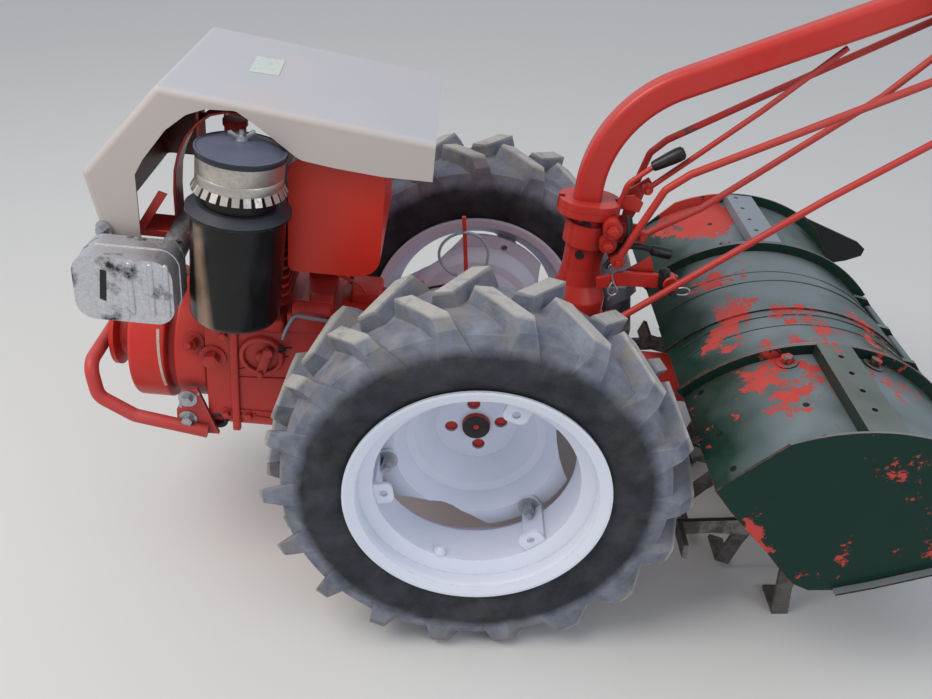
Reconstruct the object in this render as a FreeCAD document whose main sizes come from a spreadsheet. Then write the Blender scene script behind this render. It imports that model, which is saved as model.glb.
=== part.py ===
import FreeCAD, Part
import math
import os
import Sketcher
from FreeCAD import Placement, Rotation, Vector

# Walking tractor with a rear rotary tiller, in millimetres.
# Each piece is drawn with the machine level: the origin on the wheel axle, +X to the engine, +Y to the left, +Z up.
# The last step stands it on its tyres and tines, nose up, with the origin under the middle of the machine.

doc = FreeCAD.newDocument("walking_tractor")

# name, value in mm or degrees, what it is
SIZES = [
    ("seat_gap", 0.3, "gap between a piece and what it is seated on"),
    ("running_gap", 0.06, "radial play of a shaft in its bearing"),
    ("free_gap", 6, "least gap beside a turning piece"),
    # wheels
    ("wheel_track", 583, "middle of one tyre to the middle of the other"),
    ("wheel_radius", 335, "axle to the tips of the lugs"),
    ("lug_height", 29, "height of the lugs over the tread"),
    ("lug_count", 18, "lugs along each side of a tyre"),
    ("lug_top", 26, "width of a lug at its tip"),
    ("lug_foot", 44, "width of a lug at the tread"),
    ("lug_sweep", 54, "how far a lug trails from the middle of the tread to its shoulder"),
    ("tyre_width", 160, "over the side walls"),
    ("tread_width", 138, "between the shoulders"),
    ("tyre_wall", 11, "thickness of the carcass"),
    ("bead_radius", 190.5, "seat of the tyre on the rim"),
    ("rim_radius", 207.5, "rim's flange"),
    ("rim_width", 150, "over the rim's flanges"),
    ("rim_well", 168, "radius of the well between the bead seats"),
    ("rim_sheet", 4.5, "thickness of the rim"),
    ("disc_radius", 167, "wheel disc at its three lobes"),
    ("disc_waist", 133, "wheel disc at its three scallops"),
    ("scallop_radius", 306, "radius of the scallops"),
    ("disc_sheet", 5, "thickness of the wheel disc"),
    ("disc_inset", 54.5, "from the middle of the rim inwards to the lobes' outer face"),
    ("hub_inset", 122.5, "from the middle of the rim inwards to the disc's hub face"),
    ("hub_face_radius", 70, "flat middle of the disc"),
    ("hub_bore", 24, "radius of the disc's centre hole"),
    ("wheel_bolt_circle", 85, "pitch circle of the wheel bolt holes"),
    ("wheel_bolt_hole", 11, "radius of the wheel bolt holes"),
    ("wheel_bolt_turn", 61.3, "degrees from a lobe's side to the first wheel bolt hole"),
    ("wheel_turn", 17, "degrees that rim and disc are turned on the axle"),
    ("bracket_width", 40, "rim bracket along the rim"),
    ("bracket_sheet", 5, "thickness of a rim bracket"),
    ("bracket_reach", 30, "tab of a rim bracket towards the axle"),
    ("bracket_length", 88, "outer tab to inner tab of a rim bracket"),
    ("hub_radius", 62, "hub flange behind the disc"),
    ("hub_sheet", 12, "thickness of the hub flange"),
    ("hub_nose", 14, "hub's nose through the disc, from the flange"),
    ("axle_radius", 22, "wheel shaft"),
    # transmission
    ("axle_tube_radius", 46, "housing round a wheel shaft"),
    ("case_length", 250, "main case, fore and aft"),
    ("case_width", 176, "main case, across"),
    ("case_top", 112, "main case over the axle"),
    ("case_bottom", 100, "main case under the axle"),
    ("crank_height", 28, "crankshaft over the axle"),
    ("bell_radius", 112, "bell housing at the engine"),
    ("bell_length", 125, "bell housing, fore and aft"),
    ("tail_length", 100, "rear housing behind the main case"),
    ("tail_width", 116, "rear housing, across"),
    ("tail_top", 104, "rear housing over the axle"),
    ("tail_bottom", 60, "rear housing under the axle"),
    ("column_back", 159, "axle to the handlebar column"),
    ("column_base", 150, "foot of the column over the axle"),
    ("column_top", 350, "top of the column over the axle"),
    ("column_radius", 34, "column tube"),
    ("column_foot", 50, "radius of the column's foot"),
    ("flange_sheet", 12, "flange between column and beam"),
    ("flange_radius", 53, "half the length of that flange, fore and aft"),
    ("flange_half", 42, "half its width"),
    ("flange_back", 152, "axle to the middle of that flange"),
    # handlebar
    ("beam_width", 35, "handlebar beam, from side to side"),
    ("beam_depth", 45, "the same beam, top to bottom"),
    ("beam_round", 9, "rounding of the beam's section"),
    ("beam_bend", 200, "radius of the beam's bend"),
    ("beam_rise", 509, "height of the beam's corner over the axle"),
    ("beam_slope", 26.1, "degrees that the beam climbs to the rear"),
    ("beam_length", 513, "beam behind its corner"),
    ("beam_back", 147, "axle to the beam's upright end"),
    ("handle_radius", 14, "handle tubes"),
    ("handle_spread", 290, "grips, from the middle of the machine"),
    ("handle_length", 560, "handles behind the beam's end"),
    ("handle_height", 800, "grips over the axle"),
    ("grip_radius", 19, "rubber grips"),
    ("grip_length", 130, "rubber grips"),
    # engine
    ("engine_front", 470, "front of the crankcase"),
    ("crankcase_half", 112, "half the width of the crankcase"),
    ("crankcase_top", 126, "crankcase over the axle"),
    ("crankcase_bottom", 100, "crankcase under the axle"),
    ("fan_radius", 120, "fan housing"),
    ("fan_neck", 102, "groove of the fan housing"),
    ("fan_length", 132, "fan housing, fore and aft"),
    ("pulley_radius", 70, "starting pulley"),
    ("pulley_length", 47, "starting pulley, fore and aft"),
    ("cylinder_place", 392, "axle to the middle of the cylinder"),
    ("cylinder_length", 110, "cylinder's fins, fore and aft"),
    ("cylinder_width", 150, "cylinder's fins, across"),
    ("cylinder_height", 190, "finned part of the cylinder"),
    ("fin_pitch", 17, "from fin to fin"),
    ("fin_sheet", 5, "thickness of a fin"),
    ("head_height", 66, "rocker box on the cylinder"),
    ("tank_front", 329, "fuel tank's front"),
    ("tank_length", 146, "fuel tank, fore and aft"),
    ("tank_half", 120, "half the width of the fuel tank"),
    ("tank_bottom", 237, "fuel tank over the axle"),
    ("tank_top", 425, "top of the fuel tank"),
    ("filter_place", 394, "axle to the air filter's centre line"),
    ("filter_side", 180, "air filter from the middle of the machine"),
    ("filter_bottom", 184, "bowl of the air filter over the axle"),
    ("filter_radius", 69, "bowl of the air filter"),
    ("filter_brim", 76.5, "brim of the bowl"),
    ("filter_brim_height", 372, "brim over the axle"),
    ("filter_cap_radius", 64, "cap of the air filter"),
    ("filter_cap_top", 452, "top of the cap over the axle"),
    ("filter_lean", 3.5, "degrees that the air filter leans back"),
    ("inlet_height", 300, "carburettor over the axle"),
    ("muffler_place", 541, "axle to the middle of the muffler"),
    ("muffler_length", 142, "muffler, fore and aft"),
    ("muffler_height", 104, "muffler"),
    ("muffler_middle", 256, "middle of the muffler over the axle"),
    ("muffler_inner", 190, "inner face of the muffler"),
    ("muffler_outer", 262, "outer face of the muffler"),
    ("pipe_radius", 22, "exhaust pipe"),
    # hood
    ("hood_half", 174, "half the width of the hood"),
    ("hood_sheet", 3, "thickness of the hood"),
    ("hood_bend", 12, "bends across the hood"),
    ("hood_side_bend", 10, "bends along the hood's sides"),
    ("hood_rear", 112, "rear edge of the hood"),
    ("hood_rear_top", 492, "top of the hood's rear edge"),
    ("hood_rear_bottom", 433, "bottom of the hood's rear edge"),
    ("hood_front", 501, "front corner of the hood's top"),
    ("hood_front_top", 531, "top of the same corner"),
    ("hood_nose", 617, "foremost corner of the hood"),
    ("hood_nose_height", 394, "the same corner over the axle"),
    ("hood_leg_bottom", 298, "bottom of the hood's front legs"),
    ("hood_leg_rear", 539, "rear edge of the hood's front legs"),
    ("hood_leg_slant", 20, "how far a leg's front edge runs back below the corner"),
    # bumper
    ("bumper_radius", 12, "bumper tube"),
    ("bumper_half", 125, "arms of the bumper from the middle"),
    ("bumper_front", 670, "bar of the bumper in front of the pulley"),
    ("bumper_bar_height", 14, "the same bar over the axle"),
    ("bumper_drop", 100, "bumper's arms under the axle"),
    # tiller
    ("rotor_back", 556, "axle to the rotor shaft"),
    ("rotor_drop", 66, "rotor shaft under the axle"),
    ("rotor_radius", 25, "rotor shaft"),
    ("rotor_half", 292, "half the length of the rotor"),
    ("tine_reach", 210.5, "rotor shaft to the sole of a tine"),
    ("tine_width", 29, "tines"),
    ("tine_sheet", 8, "thickness of the tines"),
    ("tine_foot", 62, "bent foot of a tine"),
    ("tine_flange", 72, "radius of the flanges that carry the tines"),
    ("cover_radius", 281, "outside of the cover"),
    ("cover_sheet", 4, "thickness of the cover"),
    ("cover_middle", 184, "joint of the middle and side covers"),
    ("cover_half", 418, "half the width of the cover"),
    ("cover_flange", 18, "flanges that stand on the cover"),
    ("cover_front", 52.5, "degrees from the top to the front edge"),
    ("cover_back", 70, "degrees from the top to the rear edge of the side covers"),
    ("middle_back", 46, "degrees from the top to the rear edge of the middle cover"),
    ("cover_fold", 25, "front edge of the middle cover, folded in"),
    ("band_rise", 3.5, "raised band on the middle cover"),
    ("plate_fold", 12, "fold along the lower edge of an end plate"),
    ("strap_back", 19, "rear edge of a strap behind the rotor shaft"),
    ("strap_front", 39, "front edge of a strap ahead of the rotor shaft"),
    ("gear_case_radius", 92, "gear case at the rotor"),
    ("gear_case_half", 42, "half the width of the gear case"),
    ("drive_tube_radius", 44, "tube from the tractor to the gear case"),
    ("flap_gap", 8, "rear flap to the joint of the covers"),
    ("flap_start", 53.5, "degrees from the top back to the flap's upper edge"),
    ("flap_end", 110, "degrees from the top back to the flap's lower edge"),
    ("flap_sheet", 3, "thickness of the rear flap"),
    ("hinge_radius", 6, "hinge rod of the rear flap"),
    ("hinge_knuckle", 10, "radius of the hinge's knuckles"),
    ("hinge_angle", 50, "degrees from the top of the cover back to the hinge rod"),
    ("hinge_rise", 6, "hinge rod over the cover"),
    ("lug_sheet", 10, "thickness of the hinge's lugs"),
    ("hinge_gap", 6, "between a lug and a knuckle of the hinge"),
    ("pin_radius", 4, "pins that carry the rods"),
]


class Size:
    """A number from the sheet, or worked out from such numbers, with the expression that gives it."""

    def __init__(self, number, words):
        self.number = float(number)
        self.words = words

    def __float__(self):
        return self.number

    def __neg__(self):
        return Size(-self.number, f"-({self.words})")

    def __add__(self, other):
        other = as_size(other)
        return Size(self.number + other.number, f"({self.words} + {other.words})")

    __radd__ = __add__

    def __sub__(self, other):
        return self + (-as_size(other))

    def __rsub__(self, other):
        return as_size(other) + (-self)

    def __mul__(self, other):
        other = as_size(other)
        return Size(self.number * other.number, f"({self.words} * {other.words})")

    __rmul__ = __mul__

    def __truediv__(self, other):
        other = as_size(other)
        return Size(self.number / other.number, f"({self.words} / {other.words})")


def as_size(value):
    if isinstance(value, Size):
        return value
    return Size(value, f"({float(value):.6f})")


class Sheet:
    """The driving sizes: Sheet.name gives a Size."""


sheet = doc.addObject("Spreadsheet::Sheet", "Sizes")
for row, (alias, value, meaning) in enumerate(SIZES, start=1):
    sheet.set(f"A{row}", alias)
    sheet.set(f"B{row}", str(value))
    sheet.set(f"C{row}", meaning)
    sheet.setAlias(f"B{row}", alias)
doc.recompute()
for alias, _, _ in SIZES:
    setattr(Sheet, alias, Size(sheet.get(alias), f"Sizes.{alias}"))
S = Sheet


def sine(angle):
    angle = as_size(angle)
    return Size(math.sin(math.radians(float(angle))), f"sin({angle.words} * 1deg)")


def cosine(angle):
    angle = as_size(angle)
    return Size(math.cos(math.radians(float(angle))), f"cos({angle.words} * 1deg)")


def spot(across, along, up):
    return Vector(float(across), float(along), float(up))


# The machine rests on two tyres and on the soles of the tines, which gives its pitch.
rotor_arm = math.hypot(float(S.rotor_back), float(S.rotor_drop))
rotor_dip = math.degrees(math.atan2(float(S.rotor_drop), float(S.rotor_back)))
park_pitch = math.degrees(math.asin((float(S.wheel_radius) - float(S.tine_reach)) / rotor_arm)) - rotor_dip
PARKED = Rotation(Vector(0, 1, 0), -park_pitch)

pieces = {}


def keep(made, name, place=None):
    """Names a finished piece. Its place is where it lies on the level machine."""
    made.Label = name
    pieces[name] = (made, place or Placement())
    return made


def new_body(name):
    return doc.addObject("PartDesign::Body", name + "_body")


def role(owner, name):
    return next(item for item in owner.Origin.OriginFeatures if item.Role == name)


# which way a plane's sketch looks: +1 along the axis, -1 against it
LOOKS = {"XY_Plane": 1, "YZ_Plane": 1, "XZ_Plane": -1}


def new_sketch(owner, plane, away):
    """A sketch on an origin plane, moved along the axis square to it."""
    made = owner.newObject("Sketcher::SketchObject", "Sketch")
    made.AttachmentSupport = [(role(owner, plane), "")]
    made.MapMode = "FlatFace"
    shift = as_size(away) * LOOKS[plane]
    made.AttachmentOffset = Placement(Vector(0, 0, float(shift)), Rotation())
    made.setExpression("AttachmentOffset.Base.z", shift.words)
    return made


def drive(made, kind, where, value):
    """A constraint whose value comes from the sheet."""
    value = as_size(value)
    index = made.addConstraint(Sketcher.Constraint(kind, *where, float(value)))
    made.setExpression(f"Constraints[{index}]", value.words)


def draw_outline(made, corners):
    """A closed outline. A corner is (across, up) or (across, up, rounding)."""
    count = len(corners)
    spots = [Vector(float(c[0]), float(c[1]), 0) for c in corners]
    rounds = [as_size(c[2]) if len(c) > 2 else None for c in corners]
    starts, ends, turns = [], [], []
    for i, here in enumerate(spots):
        back = (spots[i - 1] - here).normalize()
        ahead = (spots[(i + 1) % count] - here).normalize()
        if rounds[i] is None:
            starts.append(here)
            ends.append(here)
            turns.append(None)
            continue
        half = back.getAngle(ahead) / 2
        reach = float(rounds[i]) / math.tan(half)
        centre = here + (back + ahead).normalize() * (float(rounds[i]) / math.sin(half))
        starts.append(here + back * reach)
        ends.append(here + ahead * reach)
        turns.append((centre, back.cross(ahead).z < 0))
    lines = []
    for i in range(count):
        lines.append(made.addGeometry(Part.LineSegment(ends[i], starts[(i + 1) % count])))
    for i in range(count):
        before = lines[i - 1]
        after = lines[i]
        if turns[i] is None:
            made.addConstraint(Sketcher.Constraint("Coincident", before, 2, after, 1))
            drive(made, "DistanceX", (-1, 1, after, 1), corners[i][0])
            drive(made, "DistanceY", (-1, 1, after, 1), corners[i][1])
            continue
        centre, leftward = turns[i]
        first, last = (starts[i], ends[i]) if leftward else (ends[i], starts[i])
        from_angle = math.atan2(first.y - centre.y, first.x - centre.x)
        to_angle = math.atan2(last.y - centre.y, last.x - centre.x)
        circle = Part.Circle(centre, Vector(0, 0, 1), float(rounds[i]))
        arc = made.addGeometry(Part.ArcOfCircle(circle, from_angle, to_angle))
        enter, leave = (1, 2) if leftward else (2, 1)
        made.addConstraint(Sketcher.Constraint("Tangent", before, 2, arc, enter))
        made.addConstraint(Sketcher.Constraint("Tangent", arc, leave, after, 1))
        drive(made, "Radius", (arc,), rounds[i])
        corner = made.addGeometry(Part.Point(spots[i]), True)
        made.addConstraint(Sketcher.Constraint("PointOnObject", corner, 1, before))
        made.addConstraint(Sketcher.Constraint("PointOnObject", corner, 1, after))
        drive(made, "DistanceX", (-1, 1, corner, 1), corners[i][0])
        drive(made, "DistanceY", (-1, 1, corner, 1), corners[i][1])


def draw_circle(made, across, up, radius):
    where = Vector(float(across), float(up), 0)
    ring = made.addGeometry(Part.Circle(where, Vector(0, 0, 1), float(radius)))
    drive(made, "Radius", (ring,), radius)
    drive(made, "DistanceX", (-1, 1, ring, 3), across)
    drive(made, "DistanceY", (-1, 1, ring, 3), up)


def outline(owner, plane, away, corners):
    made = new_sketch(owner, plane, away)
    draw_outline(made, corners)
    return made


def circles(owner, plane, away, rounds):
    made = new_sketch(owner, plane, away)
    for across, up, radius in rounds:
        draw_circle(made, across, up, radius)
    return made


def box_corners(left, right, low, high, rounding=None):
    corners = [(left, low), (right, low), (right, high), (left, high)]
    if rounding is None:
        return corners
    return [(across, up, rounding) for across, up in corners]


def pad(owner, plane, start, end, corners=None, rounds=None):
    """Solid between two distances along the axis square to the plane."""
    near = start if LOOKS[plane] > 0 else end
    profile = outline(owner, plane, near, corners) if corners else circles(owner, plane, near, rounds)
    made = owner.newObject("PartDesign::Pad", "Pad")
    made.Profile = profile
    length = as_size(end) - start
    made.Length = float(length)
    made.setExpression("Length", length.words)
    return made


def pocket(owner, plane, start, end, corners=None, rounds=None):
    """Cut between two distances along the axis square to the plane."""
    near = end if LOOKS[plane] > 0 else start
    profile = outline(owner, plane, near, corners) if corners else circles(owner, plane, near, rounds)
    made = owner.newObject("PartDesign::Pocket", "Pocket")
    made.Profile = profile
    length = as_size(end) - start
    made.Length = float(length)
    made.setExpression("Length", length.words)
    return made


def turn(owner, plane, axis, corners, kind="PartDesign::Revolution"):
    made = owner.newObject(kind, kind.split("::")[1])
    made.Profile = outline(owner, plane, 0, corners)
    made.ReferenceAxis = (role(owner, axis), [""])
    made.Angle = 360
    return made


def ring_of(owner, feature, axis, count, span=360):
    """Copies of one feature round an axis."""
    made = owner.newObject("PartDesign::PolarPattern", "Ring")
    made.Originals = [feature]
    made.Axis = (role(owner, axis), [""])
    made.Angle = span
    made.Occurrences = int(round(float(count)))
    if isinstance(count, Size):
        made.setExpression("Occurrences", count.words)
    owner.Tip = made
    return made


def route(points, bend):
    """A path of straight runs joined by tangent arcs."""
    edges = []
    start = points[0]
    for before, here, after in zip(points, points[1:], points[2:]):
        back = (before - here).normalize()
        ahead = (after - here).normalize()
        half = back.getAngle(ahead) / 2
        reach = bend / math.tan(half)
        enter = here + back * reach
        leave = here + ahead * reach
        centre = here + (back + ahead).normalize() * (bend / math.sin(half))
        middle = centre + (here - centre).normalize() * bend
        edges.append(Part.LineSegment(start, enter).toShape())
        edges.append(Part.Arc(enter, middle, leave).toShape())
        start = leave
    edges.append(Part.LineSegment(start, points[-1]).toShape())
    return Part.Wire(edges)


def bent_tube(points, radius, bend):
    """A round bar along a route."""
    path = route(points, float(bend))
    first = points[1] - points[0]
    circle = Part.makeCircle(float(radius), points[0], first)
    return path.makePipeShell([Part.Wire([circle])], True, False)


def bar(start, end, radius):
    """A straight round bar between two spots."""
    along = end - start
    return Part.makeCylinder(float(radius), along.Length, start, along)


def block(low, high):
    size = high - low
    return Part.makeBox(size.x, size.y, size.z, low)


def joined(shapes):
    first = shapes[0]
    return first.multiFuse(shapes[1:]).removeSplitter()


def feature(name, shape):
    made = doc.addObject("Part::Feature", name + "_shape")
    made.Shape = shape
    return keep(made, name)


def mirrored(source, name):
    """The same piece on the other side of the machine."""
    made = doc.addObject("Part::Mirroring", name + "_mirror")
    made.Source = source
    made.Normal = (0, 1, 0)
    made.Base = (0, 0, 0)
    return keep(made, name)


# wheels
wheel_side = S.wheel_track / 2


def tyre():
    owner = new_body("tyre")
    tread = S.wheel_radius - S.lug_height
    half = S.tyre_width / 2
    tread_half = S.tread_width / 2
    bead = S.bead_radius + S.seat_gap
    belly = tread - 56
    bead_half = S.rim_width / 2 - 14
    wall = S.tyre_wall
    profile = [
        (bead, wheel_side + bead_half),
        (belly, wheel_side + half, 42),
        (tread - 7, wheel_side + tread_half),
        (tread, wheel_side + tread_half - 26),
        (tread, wheel_side - tread_half + 26),
        (tread - 7, wheel_side - tread_half),
        (belly, wheel_side - half, 42),
        (bead, wheel_side - bead_half),
        (bead, wheel_side - bead_half + wall),
        (belly, wheel_side - half + wall, 30),
        (tread - wall - 7, wheel_side - tread_half + wall),
        (tread - wall, wheel_side - tread_half + wall + 12),
        (tread - wall, wheel_side + tread_half - wall - 12),
        (tread - wall - 7, wheel_side + tread_half - wall),
        (belly, wheel_side + half - wall, 30),
        (bead, wheel_side + bead_half - wall),
    ]
    turn(owner, "XY_Plane", "Y_Axis", profile)
    # rows of lugs: which side of the tyre, degrees to the first lug
    for side, first in ((1, 0), (-1, 180 / float(S.lug_count))):
        ring_of(owner, lug(owner, side, first), "Y_Axis", S.lug_count)
    return owner


def lug(owner, side, first):
    """One bar of the tread, from just past the middle to the shoulder, which trails the middle."""
    corner = (S.lug_sweep + S.lug_top) / 2
    tip = S.wheel_radius - corner * corner / (S.wheel_radius * 2)
    foot = S.wheel_radius - S.lug_height - 9
    trail = S.lug_sweep / 2
    shoulder = S.tread_width / 2
    # across the tyre, trail, foot, tip
    sections = [
        (-5, trail, foot, tip),
        (shoulder - 4, -trail, foot, tip),
        (shoulder + 7, -trail - 7, foot - 34, tip - 22),
    ]
    flank = (S.lug_foot - S.lug_top) / 2 / (tip - foot)
    profiles = []
    for out, back, low, high in sections:
        wide = S.lug_top / 2 + flank * (high - low)
        profile = new_sketch(owner, "XZ_Plane", wheel_side + as_size(out) * side)
        profile.AttachmentOffset.Rotation = Rotation(Vector(0, 0, 1), first)
        narrow = S.lug_top / 2
        corners = [(back - wide, low), (back + wide, low), (back + narrow, high), (back - narrow, high)]
        draw_outline(profile, [turned_corner(across, up, first) for across, up in corners])
        profile.AttachmentOffset.Rotation = Rotation()
        profiles.append(profile)
    made = owner.newObject("PartDesign::AdditiveLoft", "Lug")
    made.Profile = profiles[0]
    made.Sections = profiles[1:]
    made.Ruled = True
    return made


def turned_corner(across, up, angle):
    """A corner turned about the sketch's origin."""
    return (across * cosine(angle) - up * sine(angle), across * sine(angle) + up * cosine(angle))


def rim():
    owner = new_body("rim")
    half = S.rim_width / 2
    sheet_wall = S.rim_sheet
    lip = S.rim_radius
    seat = S.bead_radius
    well = S.rim_well
    # radius, distance from the rim's middle, on the tyre's side from one lip to the middle
    outer = [(lip, half), (lip, half - 4), (seat + 3, half - 8), (seat, half - 11), (seat, half - 31), (well, half - 43)]
    inner = [
        (lip - sheet_wall, half),
        (seat - sheet_wall + 2, half - 5),
        (seat - sheet_wall, half - 12),
        (seat - sheet_wall, half - 29),
        (well - sheet_wall, half - 40),
    ]
    profile = [(radius, wheel_side + side) for radius, side in outer]
    profile += [(radius, wheel_side - side) for radius, side in reversed(outer)]
    profile += [(radius, wheel_side - side) for radius, side in inner]
    profile += [(radius, wheel_side + side) for radius, side in reversed(inner)]
    turn(owner, "XY_Plane", "Y_Axis", profile)
    # bracket: web along the well, with a tab at each end bent towards the axle
    inner_tab = wheel_side - S.disc_inset + S.seat_gap
    outer_tab = inner_tab + S.bracket_length
    web_top = well - sheet_wall - 0.2
    tab_tip = web_top - S.bracket_reach
    thick = S.bracket_sheet
    side = S.bracket_width / 2
    web = pad(owner, "XZ_Plane", inner_tab, outer_tab, corners=box_corners(-side, side, web_top - thick, web_top))
    ring_of(owner, web, "Y_Axis", 3)
    tab = [(-side, tab_tip, 12), (side, tab_tip, 12), (side, web_top), (-side, web_top)]
    for near in (inner_tab, outer_tab - thick):
        ring_of(owner, pad(owner, "XZ_Plane", near, near + thick, corners=tab), "Y_Axis", 3)
    holes = circles(owner, "XZ_Plane", inner_tab - 1, [(0, tab_tip + S.bracket_reach / 2, 6.5)])
    cut = owner.newObject("PartDesign::Pocket", "BoltHole")
    cut.Profile = holes
    cut.Length = float(S.bracket_length + 2)
    cut.setExpression("Length", (S.bracket_length + 2).words)
    ring_of(owner, cut, "Y_Axis", 3)
    return owner


def disc():
    owner = new_body("disc")
    face = wheel_side - S.hub_inset
    lobe = wheel_side - S.disc_inset
    wall = S.disc_sheet
    step = (lobe - face) / 2
    flat = S.hub_face_radius
    profile = [
        (S.hub_bore, face - wall),
        (flat + 2, face - wall),
        (flat + 36, face + step - wall - 2),
        (flat + 50, face + step - wall + 4),
        (flat + 70, lobe - wall),
        (S.disc_radius, lobe - wall),
        (S.disc_radius, lobe),
        (flat + 67, lobe),
        (flat + 47, face + step + 4),
        (flat + 33, face + step - 2),
        (flat, face),
        (S.hub_bore, face),
    ]
    turn(owner, "XY_Plane", "Y_Axis", profile)
    reach = S.disc_waist + S.scallop_radius
    scallop = pocket(owner, "XZ_Plane", face, lobe + 1, rounds=[(0, -reach, S.scallop_radius)])
    ring_of(owner, scallop, "Y_Axis", 3)
    arm = S.wheel_bolt_circle / 2
    bolt_hole = (arm * cosine(S.wheel_bolt_turn), arm * sine(S.wheel_bolt_turn), S.wheel_bolt_hole)
    hole = pocket(owner, "XZ_Plane", face - wall - 1, face + 1, rounds=[bolt_hole])
    ring_of(owner, hole, "Y_Axis", 4)
    ear = pocket(owner, "XZ_Plane", lobe - wall - 1, lobe + 1, rounds=[(0, S.rim_well - S.rim_sheet - 15.2, 6.5)])
    ring_of(owner, ear, "Y_Axis", 3)
    return owner


def hub():
    owner = new_body("hub")
    back = wheel_side - S.hub_inset - S.disc_sheet - S.seat_gap
    inner = back - S.hub_sheet
    shaft_end = S.case_width / 2 - 20
    profile = [
        (0, shaft_end),
        (S.axle_radius, shaft_end),
        (S.axle_radius, inner),
        (S.hub_radius, inner),
        (S.hub_radius, back),
        (S.hub_bore - 0.5, back),
        (S.hub_bore - 0.5, back + S.hub_nose),
        (0, back + S.hub_nose),
    ]
    turn(owner, "XY_Plane", "Y_Axis", profile)
    return owner


turned = Placement(Vector(), Rotation(Vector(0, 1, 0), -float(S.wheel_turn)))
# name, how it is made, how it lies on the axle
WHEEL_PIECES = [
    ("tyre", tyre, Placement()),
    ("rim", rim, turned),
    ("wheel_disc", disc, turned),
    ("wheel_hub", hub, Placement()),
]
for piece, make, place in WHEEL_PIECES:
    left = keep(make(), piece + "_left", place)
    mirrored(left, piece + "_right")


# transmission
def gearbox():
    owner = new_body("gearbox")
    front = S.case_length / 2
    half = S.case_width / 2
    pad(owner, "XZ_Plane", -half, half, corners=box_corners(-front, front, -S.case_bottom, S.case_top, 34))
    tube_end = wheel_side - S.hub_inset - S.disc_sheet - S.seat_gap - S.hub_sheet - S.free_gap
    pad(owner, "XZ_Plane", -tube_end, tube_end, rounds=[(0, 0, S.axle_tube_radius)])
    pad(owner, "YZ_Plane", front - 40, front + S.bell_length, rounds=[(0, S.crank_height, S.bell_radius)])
    tail_half = S.tail_width / 2
    pad(
        owner,
        "XZ_Plane",
        -tail_half,
        tail_half,
        corners=box_corners(-front - S.tail_length, -front + 40, -S.tail_bottom, S.tail_top, 20),
    )
    pad(owner, "XY_Plane", S.tail_top - 30, S.column_base - S.seat_gap, rounds=[(-S.column_back, 0, S.column_foot + 4)])
    bore = S.axle_radius + S.running_gap
    shaft_end = S.case_width / 2 - 20
    for side in (1, -1):
        low, high = (shaft_end - 2, tube_end + 1) if side > 0 else (-tube_end - 1, 2 - shaft_end)
        pocket(owner, "XZ_Plane", low, high, rounds=[(0, 0, bore)])
    return owner


keep(gearbox(), "gearbox")


def oval_flange(owner, low, high, middle):
    """Flange longer fore and aft than across, with an open slot for a bolt at each end."""
    narrow = S.flange_half
    shift = S.flange_radius - narrow
    for side in (1, -1):
        pad(owner, "XY_Plane", low, high, rounds=[(middle + shift * side, 0, narrow)])
    pad(owner, "XY_Plane", low, high, corners=box_corners(middle - shift, middle + shift, -narrow, narrow))
    for side in (1, -1):
        ends = (middle + S.flange_radius * 0.8 * side, middle + S.flange_radius * 1.2 * side)
        near, far = sorted(ends, key=float)
        pocket(owner, "XY_Plane", low - 1, high + 1, corners=box_corners(near, far, -6, 6))


def column():
    owner = new_body("column")
    base = S.column_base
    profile = [
        (0, base),
        (S.column_foot, base),
        (S.column_foot, base + 34, 12),
        (S.column_radius + 4, base + 62, 14),
        (S.column_radius, base + 90),
        (S.column_radius, S.column_top - 4),
        (0, S.column_top - 4),
    ]
    turn(owner, "XZ_Plane", "Z_Axis", profile)
    oval_flange(owner, S.column_top - S.flange_sheet, S.column_top, S.column_back - S.flange_back)
    return owner


column_place = Placement(spot(-S.column_back, 0, 0), Rotation())
keep(column(), "column", column_place)


# handlebar
def beam():
    owner = new_body("beam")
    low = S.column_top + S.seat_gap
    oval_flange(owner, low, low + S.flange_sheet, S.beam_back - S.flange_back)
    deep = S.beam_depth / 2
    half = S.beam_width / 2
    profile = outline(owner, "XY_Plane", low + S.flange_sheet - 1, box_corners(-deep, deep, -half, half, S.beam_round))
    spine = new_sketch(owner, "XZ_Plane", 0)
    corner = Vector(0, float(S.beam_rise), 0)
    start = Vector(0, float(low + S.flange_sheet - 1), 0)
    slope = math.radians(float(S.beam_slope))
    away = Vector(-math.cos(slope), math.sin(slope), 0)
    end = corner + away * float(S.beam_length)
    bend = float(S.beam_bend)
    reach = bend * math.tan((math.pi / 2 - slope) / 2)
    enter = corner - Vector(0, reach, 0)
    leave = corner + away * reach
    centre = enter + Vector(-bend, 0, 0)
    first = spine.addGeometry(Part.LineSegment(start, enter))
    arc = spine.addGeometry(
        Part.ArcOfCircle(Part.Circle(centre, Vector(0, 0, 1), bend), 0, math.pi / 2 - slope)
    )
    last = spine.addGeometry(Part.LineSegment(leave, end))
    spine.addConstraint(Sketcher.Constraint("Tangent", first, 2, arc, 1))
    spine.addConstraint(Sketcher.Constraint("Tangent", arc, 2, last, 1))
    spine.addConstraint(Sketcher.Constraint("PointOnObject", first, 1, -2))
    spine.addConstraint(Sketcher.Constraint("Vertical", first))
    drive(spine, "DistanceY", (-1, 1, first, 1), low + S.flange_sheet - 1)
    drive(spine, "Radius", (arc,), S.beam_bend)
    drive(spine, "DistanceX", (-1, 1, last, 2), -S.beam_length * cosine(S.beam_slope))
    drive(spine, "DistanceY", (-1, 1, last, 2), S.beam_rise + S.beam_length * sine(S.beam_slope))
    climb = spine.addConstraint(Sketcher.Constraint("Angle", last, math.pi - slope))
    spine.setExpression(f"Constraints[{climb}]", "180deg - Sizes.beam_slope * 1deg")
    made = owner.newObject("PartDesign::AdditivePipe", "Beam")
    made.Profile = profile
    made.Spine = (spine, [])
    return owner


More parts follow.
